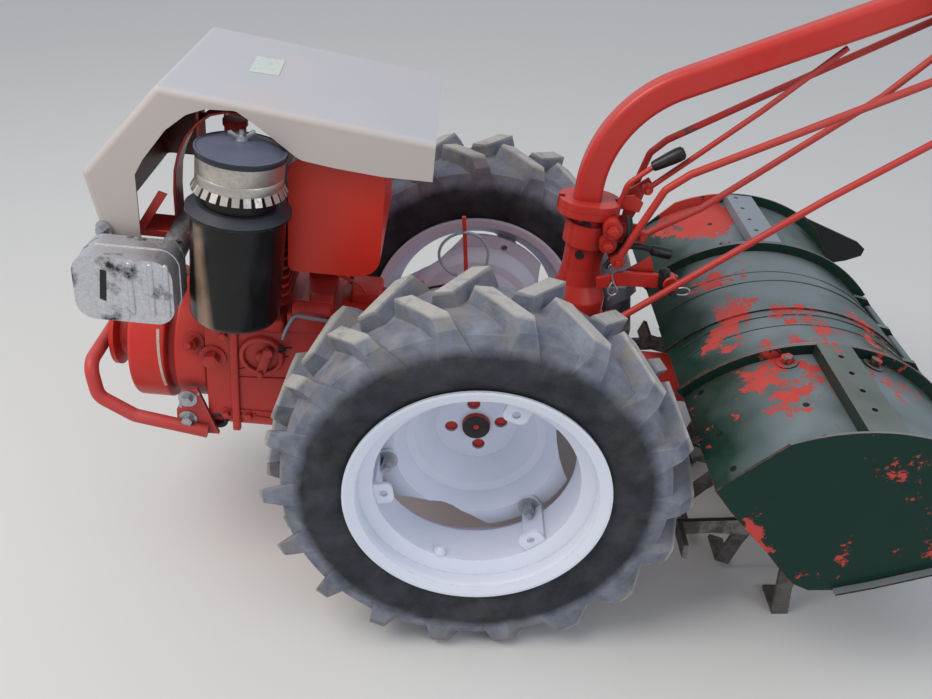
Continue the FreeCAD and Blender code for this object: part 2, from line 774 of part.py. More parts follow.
keep(beam(), "beam", Placement(spot(-S.beam_back, 0, 0), Rotation()))

beam_end = spot(
    -S.beam_back - S.beam_length * cosine(S.beam_slope), 0, S.beam_rise + S.beam_length * sine(S.beam_slope)
)
beam_way = spot(-cosine(S.beam_slope), 0, sine(S.beam_slope))


def beam_line(x):
    """Height of the beam's middle line, carried on past its ends."""
    slope = math.radians(float(S.beam_slope))
    return float(S.beam_rise) + (-float(S.beam_back) - x) * math.tan(slope)


# control rods: name, distance from the middle, radius, lower runs as (fore and aft, height over the column's top),
# upper runs as (fore and aft, share of the height from the column's top to the beam's line)
RODS = [
    ("rod_a", -32, 5.8, [(-226, 16)], [(-242, 0.432), (-265, 0.522), (-396, 0.701), (-720, 0.909)]),
    ("rod_b", 0, 4.7, [(-243, 38)], [(-302, 0.405), (-394, 0.661), (-497, 0.892)]),
    ("rod_c", 60, 6.3, [(-205, -68)], [(-256, 0.292), (-290, 0.402), (-613, 0.705), (-730, 0.757)]),
    ("rod_d", 32, 5.5, [(-241, -33)], [(-329, 0.105), (-435, 0.409), (-559, 0.654), (-615, 0.778), (-700, 0.936)]),
    ("rod_e", 90, 5.8, [(-212, -170), (-292, -99)], [(-500, 0.254), (-631, 0.479), (-740, 0.621)]),
]
column_top = float(S.column_top)


def rod_row(name):
    return next(row for row in RODS if row[0] == name)


def rod_run(name):
    _, side, _, lower, upper = rod_row(name)
    run = [Vector(x, side, column_top + rise) for x, rise in lower]
    return run + [Vector(x, side, column_top + share * (beam_line(x) - column_top)) for x, share in upper]


def rod(name):
    """Bent rod with an eye at its lower end."""
    run = rod_run(name)
    radius = rod_row(name)[2]
    tube = bent_tube(run, radius, 14)
    half = Vector(0, radius * 1.2, 0)
    eye = bar(run[0] - half, run[0] + half, radius * 1.9)
    hole = bar(run[0] - half * 2, run[0] + half * 2, S.pin_radius + S.seat_gap)
    return joined([tube, eye]).cut(hole)


for row in RODS:
    feature(row[0], rod(row[0]))


def upright_plate(corners, low, high):
    """Flat plate square to the Y axis."""
    wire = Part.makePolygon([Vector(x, float(low), z) for x, z in corners + corners[:1]])
    return Part.Face(wire).extrude(Vector(0, float(high) - float(low), 0))


def rod_pin(name, reach):
    """Pin through the eye of a rod, past its faces on both sides."""
    row = rod_row(name)
    eye = rod_run(name)[0]
    half = row[2] * 1.2 + reach
    return bar(eye - Vector(0, half, 0), eye + Vector(0, half, 0), S.pin_radius)


def column_bracket():
    """Clamp round the column with three ears that carry rods."""
    inner = float(S.column_radius + S.seat_gap)
    wall = 7
    low = Vector(-float(S.column_back), 0, column_top - 65)
    tall = 40
    ring = Part.makeCylinder(inner + wall, tall, low).cut(Part.makeCylinder(inner, tall, low))
    back = low.x - inner - 4
    top = column_top - float(S.flange_sheet) - 8
    eye_a, eye_b, eye_c, eye_d = (rod_run(name)[0] for name in ("rod_a", "rod_b", "rod_c", "rod_d"))
    base = block(Vector(back - 5, eye_a.y + 4, eye_c.z - 14), Vector(back, eye_c.y - 12, top))
    near = back - 3
    # outline, distance from the middle
    ears = [
        (
            [
                (near, low.z),
                (near, top),
                (eye_a.x + 12, top),
                (eye_a.x + 10, eye_a.z + 12),
                (eye_b.x - 2, eye_b.z + 14),
                (eye_b.x - 14, eye_b.z),
                (eye_b.x, eye_b.z - 16),
                (eye_a.x - 12, eye_a.z - 22),
                (eye_a.x + 4, low.z + 10),
            ],
            eye_b.y - 18,
        ),
        ([(near, eye_d.z - 32), (near, top), (eye_d.x, eye_d.z + 14), (eye_d.x - 13, eye_d.z), (eye_d.x, eye_d.z - 14)], 15),
        ([(near, eye_c.z - 14), (near, eye_c.z + 18), (eye_c.x, eye_c.z + 14), (eye_c.x - 14, eye_c.z), (eye_c.x, eye_c.z - 14)], 40),
    ]
    shapes = [ring, base] + [upright_plate(corners, place, place + 4) for corners, place in ears]
    # rod, reach of its pin beyond the eye
    for name, reach in (("rod_a", 10), ("rod_b", 12), ("rod_c", 10), ("rod_d", 12)):
        shapes.append(rod_pin(name, reach))
    return joined(shapes)


feature("column_bracket", column_bracket())


def hitch_bracket():
    """Ear on the side of the rear housing, with a pin for the lowest rod."""
    side = float(S.tail_width) / 2 + float(S.seat_gap)
    eye = rod_run("rod_e")[0]
    low = float(S.tail_top) - 54
    outer = eye.y - 14
    front = eye.x + 42
    corners = [
        (eye.x - 3, low),
        (front, low),
        (front, low + 60),
        (eye.x + 12, eye.z + 10),
        (eye.x, eye.z + 14),
        (eye.x - 14, eye.z),
        (eye.x - 10, eye.z - 60),
    ]
    seat = block(Vector(eye.x - 3, side, low), Vector(front, outer, low + 42))
    return joined([seat, upright_plate(corners, outer - 4, outer), rod_pin("rod_e", 8)])


feature("hitch_bracket", hitch_bracket())


def handle_head():
    """Clamp at the beam's end that holds the two handles, with a plate below that guides the rods."""
    reach = float(S.beam_depth) / 2 + 7
    start = beam_end + beam_way * float(S.seat_gap)
    plate = bar(start, start + beam_way * 16, reach)
    lean = Rotation(Vector(0, 1, 0), float(S.beam_slope))
    upward = lean.multVec(Vector(0, 0, 1))
    through = ("rod_a", "rod_c", "rod_d", "rod_e")
    drops = [(start - rod_run(name)[-1]).dot(upward) for name in through]
    sides = [rod_run(name)[0].y for name in through]
    boss = block(Vector(-42, -70, -24), Vector(0, 70, 24))
    guide = block(Vector(-16, min(sides) - 20, -max(drops) - 30), Vector(-10, max(sides) + 20, -20))
    for piece in (boss, guide):
        piece.Placement = Placement(start + beam_way * 15, lean)
    for name in through:
        run = rod_run(name)
        guide = guide.cut(bar(run[-2], run[-1], rod_row(name)[2] + float(S.seat_gap)))
    return joined([plate, boss, guide])


feature("handle_head", handle_head())


def handle(side):
    """One handle tube, from the head out and back to its grip."""
    spread = float(S.handle_spread) * side
    start = beam_end + beam_way * 57.6 + Vector(0, 45 * side, 0)
    back = beam_end.x - float(S.handle_length)
    high = float(S.handle_height)
    points = [
        start,
        start + beam_way * 70,
        Vector(start.x - 260, spread * 0.93, high - 6),
        Vector(back, spread, high - 14),
    ]
    return points, bent_tube(points, S.handle_radius, 70)


def grip(points):
    """Rubber sleeve on the end of a handle, closed behind."""
    way = (points[-1] - points[-2]).normalize()
    start = points[-1] - way * float(S.grip_length - 10)
    outside = bar(start, points[-1] + way * 10, S.grip_radius)
    core = bar(start - way, points[-1] + way * float(S.seat_gap), S.handle_radius + S.seat_gap)
    return outside.cut(core)


handle_pair = [handle(side) for side in (1, -1)]
feature("handles", Part.makeCompound([tube for _, tube in handle_pair]))
feature("grips", Part.makeCompound([grip(points) for points, _ in handle_pair]))


# engine
def crankcase():
    owner = new_body("crankcase")
    back = S.case_length / 2 + S.bell_length + S.seat_gap
    half = S.crankcase_half
    pad(owner, "YZ_Plane", back, S.engine_front, corners=box_corners(-half, half, -S.crankcase_bottom, S.crankcase_top, 30))
    return owner


keep(crankcase(), "crankcase")


def fan_housing():
    owner = new_body("fan_housing")
    back = S.engine_front + S.seat_gap
    front = S.engine_front + S.fan_length
    radius = S.fan_radius
    profile = [
        (back, 0),
        (back, radius - 8, 6),
        (back + 55, radius - 8, 6),
        (back + 57, S.fan_neck),
        (back + 67, S.fan_neck),
        (back + 69, radius, 5),
        (front, radius, 8),
        (front, radius - 34),
        (front - 10, radius - 40),
        (front - 10, 0),
    ]
    turn(owner, "XZ_Plane", "X_Axis", profile)
    return owner


crank_place = Placement(spot(0, 0, S.crank_height), Rotation())
keep(fan_housing(), "fan_housing", crank_place)


def pulley():
    owner = new_body("pulley")
    back = S.engine_front + S.fan_length - 10 + S.seat_gap
    front = back + S.pulley_length + 10
    radius = S.pulley_radius
    profile = [
        (back, 0),
        (back, 26),
        (back + 16, 26),
        (back + 16, radius - 4),
        (back + 26, radius - 4),
        (back + 32, radius - 18),
        (front - 14, radius - 18),
        (front - 8, radius),
        (front, radius),
        (front, radius - 8),
        (front - 6, radius - 20),
        (front - 6, 0),
    ]
    turn(owner, "XZ_Plane", "X_Axis", profile)
    return owner


keep(pulley(), "starting_pulley", crank_place)


def cylinder():
    owner = new_body("cylinder")
    base = S.crankcase_top + S.seat_gap
    top = base + S.cylinder_height
    long = S.cylinder_length / 2
    wide = S.cylinder_width / 2
    place = S.cylinder_place
    core = 22
    pad(
        owner,
        "XY_Plane",
        base,
        top,
        corners=box_corners(place - long + core, place + long - core, core - wide, wide - core, 10),
    )
    fin = pad(
        owner,
        "XY_Plane",
        base + S.fin_pitch,
        base + S.fin_pitch + S.fin_sheet,
        corners=box_corners(place - long, place + long, -wide, wide, 16),
    )
    stack = owner.newObject("PartDesign::LinearPattern", "Fins")
    stack.Originals = [fin]
    stack.Direction = (role(owner, "Z_Axis"), [""])
    count = int(float(S.cylinder_height) / float(S.fin_pitch)) - 1
    stack.Length = float(S.fin_pitch) * (count - 1)
    stack.Occurrences = count
    owner.Tip = stack
    pad(
        owner,
        "XY_Plane",
        top,
        top + S.head_height,
        corners=box_corners(place - long + 8, place + long - 8, 10 - wide, wide - 10, 18),
    )
    return owner


keep(cylinder(), "cylinder")


def tank_bracket():
    owner = new_body("tank_bracket")
    low = S.crankcase_top + S.seat_gap
    high = S.tank_bottom - S.seat_gap
    back = S.tank_front - 62
    front = S.tank_front - 8
    wall = 4
    corners = [
        (-70, low),
        (70, low),
        (70, low + wall),
        (-66, low + wall),
        (-66, high - wall),
        (70, high - wall),
        (70, high),
        (-70, high),
    ]
    pad(owner, "YZ_Plane", back, front, corners=corners)
    return owner


keep(tank_bracket(), "tank_bracket")


def hood_frame():
    """Portal in front of the cylinder that carries the hood."""
    owner = new_body("hood_frame")
    front = S.engine_front - 4
    back = front - 4
    rise = (S.hood_front_top - S.hood_rear_top) / (S.hood_front - S.hood_rear)
    high = S.hood_rear_top + rise * (back - S.hood_rear) - S.hood_sheet - 0.6
    low = S.crankcase_top + S.seat_gap
    corners = [(-104, low), (-66, low), (-66, high - 40), (66, high - 40), (66, low), (104, low), (104, high), (-104, high)]
    pad(owner, "YZ_Plane", back, front, corners=corners)
    return owner


keep(hood_frame(), "hood_frame")


def carburettor():
    owner = new_body("carburettor")
    inner = S.cylinder_width / 2 + S.seat_gap
    outer = S.filter_side - S.filter_radius - S.seat_gap
    pad(owner, "XZ_Plane", inner, outer, rounds=[(S.filter_place, S.inlet_height, 24)])
    return owner


keep(carburettor(), "carburettor")


def fuel_tank():
    owner = new_body("fuel_tank")
    back = S.tank_front - S.tank_length
    half = S.tank_half
    corners = [
        (back, S.tank_bottom, 38),
        (S.tank_front, S.tank_bottom, 12),
        (S.tank_front, S.tank_top, 20),
        (back, S.tank_top, 20),
    ]
    pad(owner, "XZ_Plane", -half, half, corners=corners)
    return owner


keep(fuel_tank(), "fuel_tank")


def filter_bowl():
    owner = new_body("filter_bowl")
    low = S.filter_bottom
    brim = S.filter_brim_height
    radius = S.filter_radius
    profile = [
        (0, low),
        (radius, low, 14),
        (radius, brim - 3),
        (S.filter_brim, brim - 9),
        (S.filter_brim, brim - 5),
        (radius - 8, brim + 4),
        (0, brim + 4),
    ]
    turn(owner, "XZ_Plane", "Z_Axis", profile)
    return owner


def filter_cap():
    owner = new_body("filter_cap")
    low = S.filter_brim_height + 4 + S.seat_gap
    top = S.filter_cap_top
    radius = S.filter_cap_radius
    profile = [
        (0, low),
        (radius, low),
        (radius + 2, low + 8),
        (radius, low + 34),
        (radius, top - 14, 6),
        (radius - 24, top, 20),
        (10, top + 2),
        (10, top + 10),
        (0, top + 10),
    ]
    turn(owner, "XZ_Plane", "Z_Axis", profile)
    return owner


# the filter leans about the height of the carburettor
filter_pivot = Placement(spot(S.filter_place, S.filter_side, S.inlet_height), Rotation(Vector(0, 1, 0), -float(S.filter_lean)))
filter_spot = filter_pivot * Placement(spot(0, 0, -S.inlet_height), Rotation())
keep(filter_bowl(), "filter_bowl", filter_spot)
keep(filter_cap(), "filter_cap", filter_spot)


def muffler():
    owner = new_body("muffler")
    half = S.muffler_length / 2
    tall = S.muffler_height / 2
    middle = S.muffler_middle
    place = S.muffler_place
    pad(
        owner,
        "XZ_Plane",
        S.muffler_inner,
        S.muffler_outer,
        corners=box_corners(place - half, place + half, middle - tall, middle + tall, 28),
    )
    return owner


keep(muffler(), "muffler")


def exhaust_pipe():
    """From the cylinder's head out, forward and down into the muffler."""
    side = (float(S.muffler_inner) + float(S.muffler_outer)) / 2 - 8
    head = float(S.crankcase_top + S.cylinder_height) - 20
    low = float(S.muffler_middle + S.muffler_height / 2) + float(S.seat_gap)
    start_x = float(S.cylinder_place + S.cylinder_length / 2) + float(S.seat_gap)
    end_x = float(S.muffler_place) - 40
    points = [
        Vector(start_x, 36, head),
        Vector(start_x + 46, 36, head),
        Vector(end_x, side, low + 58),
        Vector(end_x, side, low),
    ]
    return bent_tube(points, S.pipe_radius, 32)


feature("exhaust_pipe", exhaust_pipe())


def hood():
    """A bent sheet, open below and behind, with an arch in each side."""
    owner = new_body("hood")
    half = S.hood_half
    bend = S.hood_bend
    low = S.hood_leg_bottom
    corners = [
        (S.hood_rear, low),
        (S.hood_rear, S.hood_rear_top),
        (S.hood_front, S.hood_front_top, bend),
        (S.hood_nose, S.hood_nose_height, bend),
        (S.hood_nose - S.hood_leg_slant, low),
    ]
    block = pad(owner, "XZ_Plane", -half, half, corners=corners)
    doc.recompute()
    seams = []
    for index, edge in enumerate(block.Shape.Edges, start=1):
        middle = edge.CenterOfMass
        at_side = abs(abs(middle.y) - float(half)) < 1
        if at_side and middle.z > float(low) + 20 and middle.x > float(S.hood_rear) + 20:
            seams.append(f"Edge{index}")
    rounded = owner.newObject("PartDesign::Fillet", "Bends")
    rounded.Base = (block, seams)
    rounded.Radius = float(S.hood_side_bend)
    rounded.setExpression("Radius", S.hood_side_bend.words)
    doc.recompute()
    openings = []
    for index, face in enumerate(rounded.Shape.Faces, start=1):
        middle = face.CenterOfMass
        if middle.z < float(low) + 0.1 or middle.x < float(S.hood_rear) + 0.1:
            openings.append(f"Face{index}")
    shell = owner.newObject("PartDesign::Thickness", "Shell")
    shell.Base = (rounded, openings)
    shell.Value = float(S.hood_sheet)
    shell.setExpression("Value", S.hood_sheet.words)
    shell.Reversed = True
    doc.recompute()
    rear = S.hood_rear
    bottom = S.hood_rear_bottom
    leg = S.hood_leg_rear
    arch = [
        (rear - 5, low - 5),
        (rear - 5, bottom),
        (rear + 72, bottom),
        (rear + 141, bottom + 6),
        (rear + 191, bottom + 13, 30),
        (rear + 253, bottom + 58),
        (rear + 280, bottom + 75, 14),
        (rear + 322, bottom + 73, 20),
        (leg - 78, bottom + 62, 20),
        (leg - 48, bottom + 37),
        (leg - 13, bottom - 10),
        (leg, bottom - 34),
        (leg, low - 5),
    ]
    pocket(owner, "XZ_Plane", -half - 5, half + 5, corners=arch)
    return owner


keep(hood(), "hood")


# bumper
def bumper():
    half = float(S.bumper_half)
    front = float(S.bumper_front)
    bar_height = float(S.bumper_bar_height)
    drop = -float(S.bumper_drop)
    foot = float(S.engine_front)
    arm = [(foot, drop), (front - 74, drop + 22), (front - 14, drop + 58)]
    near = [Vector(x, half, z) for x, z in arm]
    corner = [Vector(front, half - 14, bar_height)]
    far = [Vector(p.x, -p.y, p.z) for p in reversed(near + corner)]
    tube = bent_tube(near + corner + far, S.bumper_radius, 30)
    plates = []
    for side in (1, -1):
        low = float(S.crankcase_half) + float(S.seat_gap)
        y = low if side > 0 else -low - 8
        corners = [
            (foot - 18, drop - 8),
            (foot + 54, drop - 8),
            (foot + 54, drop + 40),
            (foot + 36, drop + 86),
            (foot + 16, drop + 86),
        ]
        plates.append(upright_plate(corners, y, y + 8))
    return joined([tube] + plates)


feature("bumper", bumper())

# tiller
rotor_place = Placement(spot(-S.rotor_back, 0, -S.rotor_drop), Rotation())
cover_inside = S.cover_radius - S.cover_sheet
cover_rise = S.cover_radius + S.cover_flange
flap_half = S.cover_middle - S.flap_gap


def rear_spot(radius, angle):
    """A spot at a radius from the rotor, at degrees from the top to the rear."""
    return (-(radius * sine(angle)), radius * cosine(angle))


def arc_sheet(owner, corners, ahead, behind):
    """An outline (along the rotor, radius) carried round the rotor, from ahead of the top to behind it."""
    made = owner.newObject("PartDesign::Revolution", "Sheet")
    made.Profile = outline(owner, "YZ_Plane", 0, corners)
    made.ReferenceAxis = (role(owner, "Y_Axis"), [""])
    made.Type = "TwoAngles"
    made.Angle = float(ahead)
    made.Angle2 = float(behind)
    made.setExpression("Angle", ahead.words)
    made.setExpression("Angle2", behind.words)
    return made


def drive_case():
    """Gear case round the rotor shaft, with the tube that carries it and the stays to the cover."""
    owner = new_body("drive_case")
    half = S.gear_case_half
    pad(owner, "XZ_Plane", -half, half, rounds=[(0, 0, S.gear_case_radius)])
    front = S.rotor_back - S.case_length / 2 - S.tail_length - S.seat_gap
    height = S.rotor_drop + (S.tail_top - S.tail_bottom) / 2
    pad(owner, "YZ_Plane", 40, front, rounds=[(0, height, S.drive_tube_radius)])
    pad(owner, "YZ_Plane", front - 14, front, rounds=[(0, height, S.drive_tube_radius + 20)])
    inside = cover_inside - S.seat_gap
    stay = [(-60, 40), (90, 40), (70, inside - 24), (20, inside - 4), (-30, inside - 6), (-60, inside - 14)]
    pad(owner, "XZ_Plane", half - 16, half - 6, corners=stay)
    pad(owner, "XZ_Plane", 6 - half, 16 - half, corners=stay)
    foot = [(-26, inside - 12), (16, inside - 12), (16, inside - 1.2), (-5, inside - 0.1), (-26, inside - 1.6)]
    for low, high in ((half - 16, half + 30), (-half - 30, 16 - half)):
        pad(owner, "XZ_Plane", low, high, corners=foot)
    pocket(owner, "XZ_Plane", -half - 1, half + 1, rounds=[(0, 0, S.rotor_radius + S.running_gap)])
    return owner


keep(drive_case(), "drive_case", rotor_place)

# lugs on the middle cover that carry the hinge rod: distance of their middles from the middle of the machine
LUG_PLACES = [-flap_half + S.lug_sheet / 2, -flap_half / 3, flap_half / 3, flap_half - S.lug_sheet / 2]
hinge_radius_out = S.cover_radius + S.hinge_rise


def hinge_lugs(owner):
    """Lugs on the rear edge that carry the hinge rod."""
    edge = S.middle_back
    hinge = rear_spot(hinge_radius_out, S.hinge_angle)
    corners = [
        rear_spot(cover_inside, edge - 4),
        rear_spot(cover_inside, edge),
        rear_spot(hinge_radius_out - S.hinge_knuckle + 0.2, S.hinge_angle),
        rear_spot(hinge_radius_out + S.hinge_knuckle - 0.2, S.hinge_angle),
        rear_spot(hinge_radius_out + S.hinge_knuckle, edge + 0.5),
        rear_spot(S.cover_radius, edge - 4),
    ]
    half = S.lug_sheet / 2
    for place in LUG_PLACES:
        pad(owner, "XZ_Plane", place - half, place + half, corners=corners)
        pad(owner, "XZ_Plane", place - half, place + half, rounds=[(*hinge, S.hinge_knuckle)])
    hole = S.hinge_radius + S.seat_gap
    pocket(owner, "XZ_Plane", -flap_half - 1, flap_half + 1, rounds=[(*hinge, hole)])


def cover_middle():
    owner = new_body("cover_middle")
    high = S.cover_middle - S.seat_gap / 2
    wall = S.cover_sheet
    profile = [
        (-high, cover_inside),
        (high, cover_inside),
        (high, cover_rise),
        (high - wall, cover_rise),
        (high - wall, S.cover_radius),
        (wall - high, S.cover_radius),
        (wall - high, cover_rise),
        (-high, cover_rise),
    ]
    arc_sheet(owner, profile, S.cover_front, S.middle_back)
    band = box_corners(-30, 45, cover_inside + 1, S.cover_radius + S.band_rise)
    arc_sheet(owner, band, S.cover_front, S.middle_back)
    fold = [
        rear_spot(cover_inside + 1, -S.cover_front),
        rear_spot(S.cover_radius - S.cover_fold, -S.cover_front),
        rear_spot(S.cover_radius - S.cover_fold, 0.9 - S.cover_front),
        rear_spot(cover_inside + 1, 0.9 - S.cover_front),
    ]
    pad(owner, "XZ_Plane", -high, high, corners=fold)
    hinge_lugs(owner)
    return owner


# lower edge of an end plate from front to rear, in shares of the cover's radius
PLATE_EDGE = [
    (0.683, 0.484),
    (0.537, 0.338),
    (0.402, 0.206),
    (0.299, 0.0925),
    (0.199, -0.004),
    (0.103, -0.043),
    (-0.036, -0.028),
    (-0.221, 0.046),
    (-0.512, 0.1815),
]


def cover_side():
    owner = new_body("cover_side")
    radius = S.cover_radius
    wall = S.cover_sheet
    joint = S.cover_middle + S.seat_gap / 2
    outer = S.cover_half
    plate_in = outer - wall
    rise = cover_rise + 2
    arc_sheet(owner, box_corners(joint, outer - 1, cover_inside, radius), S.cover_front, S.cover_back)
    flange = box_corners(joint, joint + wall, cover_inside, cover_rise)
    arc_sheet(owner, flange, S.cover_front, S.middle_back - 1)
    pad(owner, "XZ_Plane", plate_in, outer, rounds=[(0, 0, rise)])
    far = radius * 1.6
    beyond = rise * 1.3
    edge = [(radius * across, radius * up) for across, up in PLATE_EDGE]
    corner = rear_spot(radius, S.cover_back)
    outside = [
        rear_spot(beyond, -28),
        rear_spot(rise, -28),
        rear_spot(radius + 2, -47.5),
        rear_spot(radius, -S.cover_front),
        *edge,
        corner,
        rear_spot(radius + 7, 57),
        rear_spot(rise, 37),
        rear_spot(beyond, 37),
        (-far, beyond),
        (-far, -far),
        (far, -far),
        (far, beyond),
    ]
    pocket(owner, "XZ_Plane", plate_in - 1, outer + 1, corners=outside)
    run = edge[6:] + [corner]
    fold = run + [(across + wall * 0.42, up + wall * 0.91) for across, up in reversed(run)]
    pad(owner, "XZ_Plane", plate_in, outer + S.plate_fold, corners=fold)
    return owner


keep(cover_middle(), "cover_middle", rotor_place)
left_cover = keep(cover_side(), "cover_left", rotor_place)
mirrored(left_cover, "cover_right")


def strap(side, across, holes):
    """Channel across a side cover, from the joint flange to the end plate. Holes are distances from the middle."""
    owner = new_body("strap")
    wall = S.cover_sheet
    near = S.cover_middle + wall + S.seat_gap * 2
    far = S.cover_half - wall - S.seat_gap
    low, high = (near, far) if side > 0 else (-far, -near)
    back = -S.strap_back
    front = S.strap_front
    top = cover_rise

    def rest(x):
        return S.cover_radius - x * x / (S.cover_radius * 2) + S.seat_gap

    corners = [
        (back, rest(back)),
        (back + wall, rest(back)),
        (back + wall, top - wall),
        (front - wall, top - wall),
        (front - wall, rest(front - wall)),
        (front, rest(front - wall)),
        (front, top),
        (back, top),
    ]
    pad(owner, "XZ_Plane", low, high, corners=corners)
    spots = [(across, as_size(place) * side, 4.5) for place in holes]
    pocket(owner, "XY_Plane", top - wall - 1, top + 1, rounds=spots)
    return owner


# side of the machine, fore and aft, distances of the holes from the middle
STRAPS = [(1, 10, (222, 268, 314, 361)), (-1, 19, (236, 287, 343, 398))]
straps = doc.addObject("Part::Compound", "cover_straps_pair")
straps.Links = [strap(*row) for row in STRAPS]
keep(straps, "cover_straps", rotor_place)


def depth_arm():
    """Flat blade on the outside of the right end plate, with a short rod beside it."""
    radius = float(S.cover_radius)
    # outline in shares of the cover's radius
    outline_shares = [
        (-0.520, 0.935),
        (-0.840, 0.829),
        (-1.018, 0.769),
        (-1.093, 0.715),
        (-1.085, 0.655),
        (-0.975, 0.601),
        (-0.800, 0.550),
        (-0.600, 0.700),
    ]
    near = -float(S.cover_half) - float(S.seat_gap)
    arm = upright_plate([(x * radius, z * radius) for x, z in outline_shares], near - 5, near)
    stay = bar(Vector(-0.57 * radius, near - 9, 0.86 * radius), Vector(-0.965 * radius, near - 9, 0.615 * radius), 5)
    boss = bar(Vector(-0.53 * radius, near - 9, 0.905 * radius), Vector(-0.53 * radius, near, 0.905 * radius), 9)
    return joined([arm, stay, boss])


feature("depth_arm", depth_arm())
pieces["depth_arm"] = (pieces["depth_arm"][0], rotor_place)


def tine(low, outward):
    """Blade that points down, from its flange to a foot bent to one side. Low is the flange's near face."""
    reach = float(S.tine_reach)
    wide = float(S.tine_width)
    thick = float(S.tine_sheet)
    foot = float(S.tine_foot)
    corners = [
        (-wide * 0.45, -32),
        (wide * 0.45, -32),
        (wide * 0.6, -reach * 0.5),
        (wide * 0.45, -reach),
        (-wide * 0.55, -reach),
        (-wide * 0.4, -reach * 0.7),
        (-wide * 0.55, -reach * 0.45),
    ]
    blade = upright_plate(corners, low, low + thick)
    side = low if outward else low + thick - foot
    toe = block(Vector(-wide * 0.55, side, -reach), Vector(wide * 0.45, side + foot, thick - reach))
    return blade.fuse(toe)


def rotor():
    """Shaft with six flanges of four bent tines each. One tine on each side stands on the ground."""
    half = float(S.rotor_half)
    shapes = [bar(Vector(0, -half, 0), Vector(0, half, 0), S.rotor_radius)]
    thick = float(S.tine_sheet)
    first = float(S.gear_case_half) + float(S.free_gap) + 12
    step = (half - first - thick - 2) / 2
    for side in (1, -1):
        for place in range(3):
            y = first + place * step
            low = y if side > 0 else -y - thick
            shapes.append(Part.makeCylinder(float(S.tine_flange), thick, Vector(0, low, 0), Vector(0, 1, 0)))
            for quarter in range(4):
                away = place == 0 or (place in (1, 2) and quarter % 2 == 1)
                blade = tine(low, away == (side > 0))
                turned_by = park_pitch + 90 * quarter + 22.5 * (place - 2)
                blade.rotate(Vector(0, 0, 0), Vector(0, 1, 0), turned_by)
                shapes.append(blade)
    return joined(shapes)


def hinge_rod():
    reach = flap_half + S.flap_gap / 4
    owner = new_body("hinge_rod")
    hinge = rear_spot(hinge_radius_out, S.hinge_angle)
    pad(owner, "XZ_Plane", -reach, reach, rounds=[(*hinge, S.hinge_radius)])
    return owner


flap_middle = (S.flap_start + S.flap_end) / 2


def rear_flap():
    """Bent sheet behind the middle cover, with three knuckles round the hinge rod, drawn about its own middle."""
    owner = new_body("rear_flap")
    outer = S.cover_radius
    inner = outer - S.flap_sheet
    spread = (S.flap_end - S.flap_start) / 2
    arc_sheet(owner, box_corners(-flap_half, flap_half, inner, outer), spread, spread)
    pin = S.hinge_angle - flap_middle
    upper = 1 - spread
    arm = [
        rear_spot(hinge_radius_out - 4, pin),
        rear_spot(inner, upper),
        rear_spot(outer, upper),
        rear_spot(hinge_radius_out + 4, pin),
    ]
    for before, after in zip(LUG_PLACES, LUG_PLACES[1:]):
        low = before + S.lug_sheet / 2 + S.hinge_gap
        high = after - S.lug_sheet / 2 - S.hinge_gap
        pad(owner, "XZ_Plane", low, high, corners=arm)
        pad(owner, "XZ_Plane", low, high, rounds=[(*rear_spot(hinge_radius_out, pin), S.hinge_knuckle)])
    edge = [
        rear_spot(inner, spread),
        rear_spot(outer + 12, spread),
        rear_spot(outer + 12, spread - 0.7),
        rear_spot(inner, spread - 0.7),
    ]
    pad(owner, "XZ_Plane", -flap_half, flap_half, corners=edge)
    bore = (*rear_spot(hinge_radius_out, pin), S.hinge_radius + S.running_gap)
    pocket(owner, "XZ_Plane", -flap_half, flap_half, rounds=[bore])
    return owner


keep(hinge_rod(), "hinge_rod", rotor_place)
flap_place = rotor_place * Placement(Vector(), Rotation(Vector(0, 1, 0), -float(flap_middle)))
keep(rear_flap(), "rear_flap", flap_place)

rotor_piece = feature("rotor", rotor())
pieces["rotor"] = (rotor_piece, rotor_place)


# The parked machine: nose up by the pitch, its lowest corner on the ground and its length centred on the origin.
def stand():
    for made, place in pieces.values():
        if made.TypeId != "Part::Mirroring":
            made.Placement = Placement(Vector(0, 0, float(S.wheel_radius)), PARKED) * place
    doc.recompute()
    whole = Part.makeCompound([made.Shape for made, _ in pieces.values()])
    box = whole.optimalBoundingBox(False)
    shift = Vector(-(box.XMin + box.XMax) / 2, 0, -box.ZMin)
    for made, _ in pieces.values():
        if made.TypeId != "Part::Mirroring":
            made.Placement = Placement(shift, Rotation()) * made.Placement
    doc.recompute()
    axle = Placement(shift, Rotation()) * Placement(Vector(0, 0, float(S.wheel_radius)), PARKED)
    return axle, box


axle, box = stand()
print(f"park pitch {park_pitch:.3f} degrees, axle at {axle.Base}, box {box}")

os.makedirs("parts", exist_ok=True)
for item in doc.Objects:
    if "Invalid" in item.State or "Error" in item.State:
        raise RuntimeError(f"{item.Label} failed: {item.State}")
for name, (made, _) in pieces.items():
    if made.Shape.isNull() or not made.Shape.isValid():
        raise RuntimeError(f"{name} has no valid shape")
for name, (made, _) in pieces.items():
    made.Shape.exportStep(f"parts/{name}.step")
    print(f"{name}: {len(made.Shape.Solids)} solid, {made.Shape.Volume / 1e6:.3f} litres")
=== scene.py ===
# %% [markdown]
# # A walking tractor with a rotary tiller, dressed for its picture
#
# The real machine is an old two wheel tractor. A small engine sits in front under a bent sheet hood, two lugged
# tyres carry it, a bent beam carries the handlebars, and a rotary tiller under green covers hangs behind.
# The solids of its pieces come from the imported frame. This script gives them their finishes and adds the small
# things that the solids leave out, such as bolts, clips, seams and pipes. Lengths are in metres.

# %% Frame and helpers
import math
import random

import bmesh
import bpy
from mathutils import Matrix, Vector


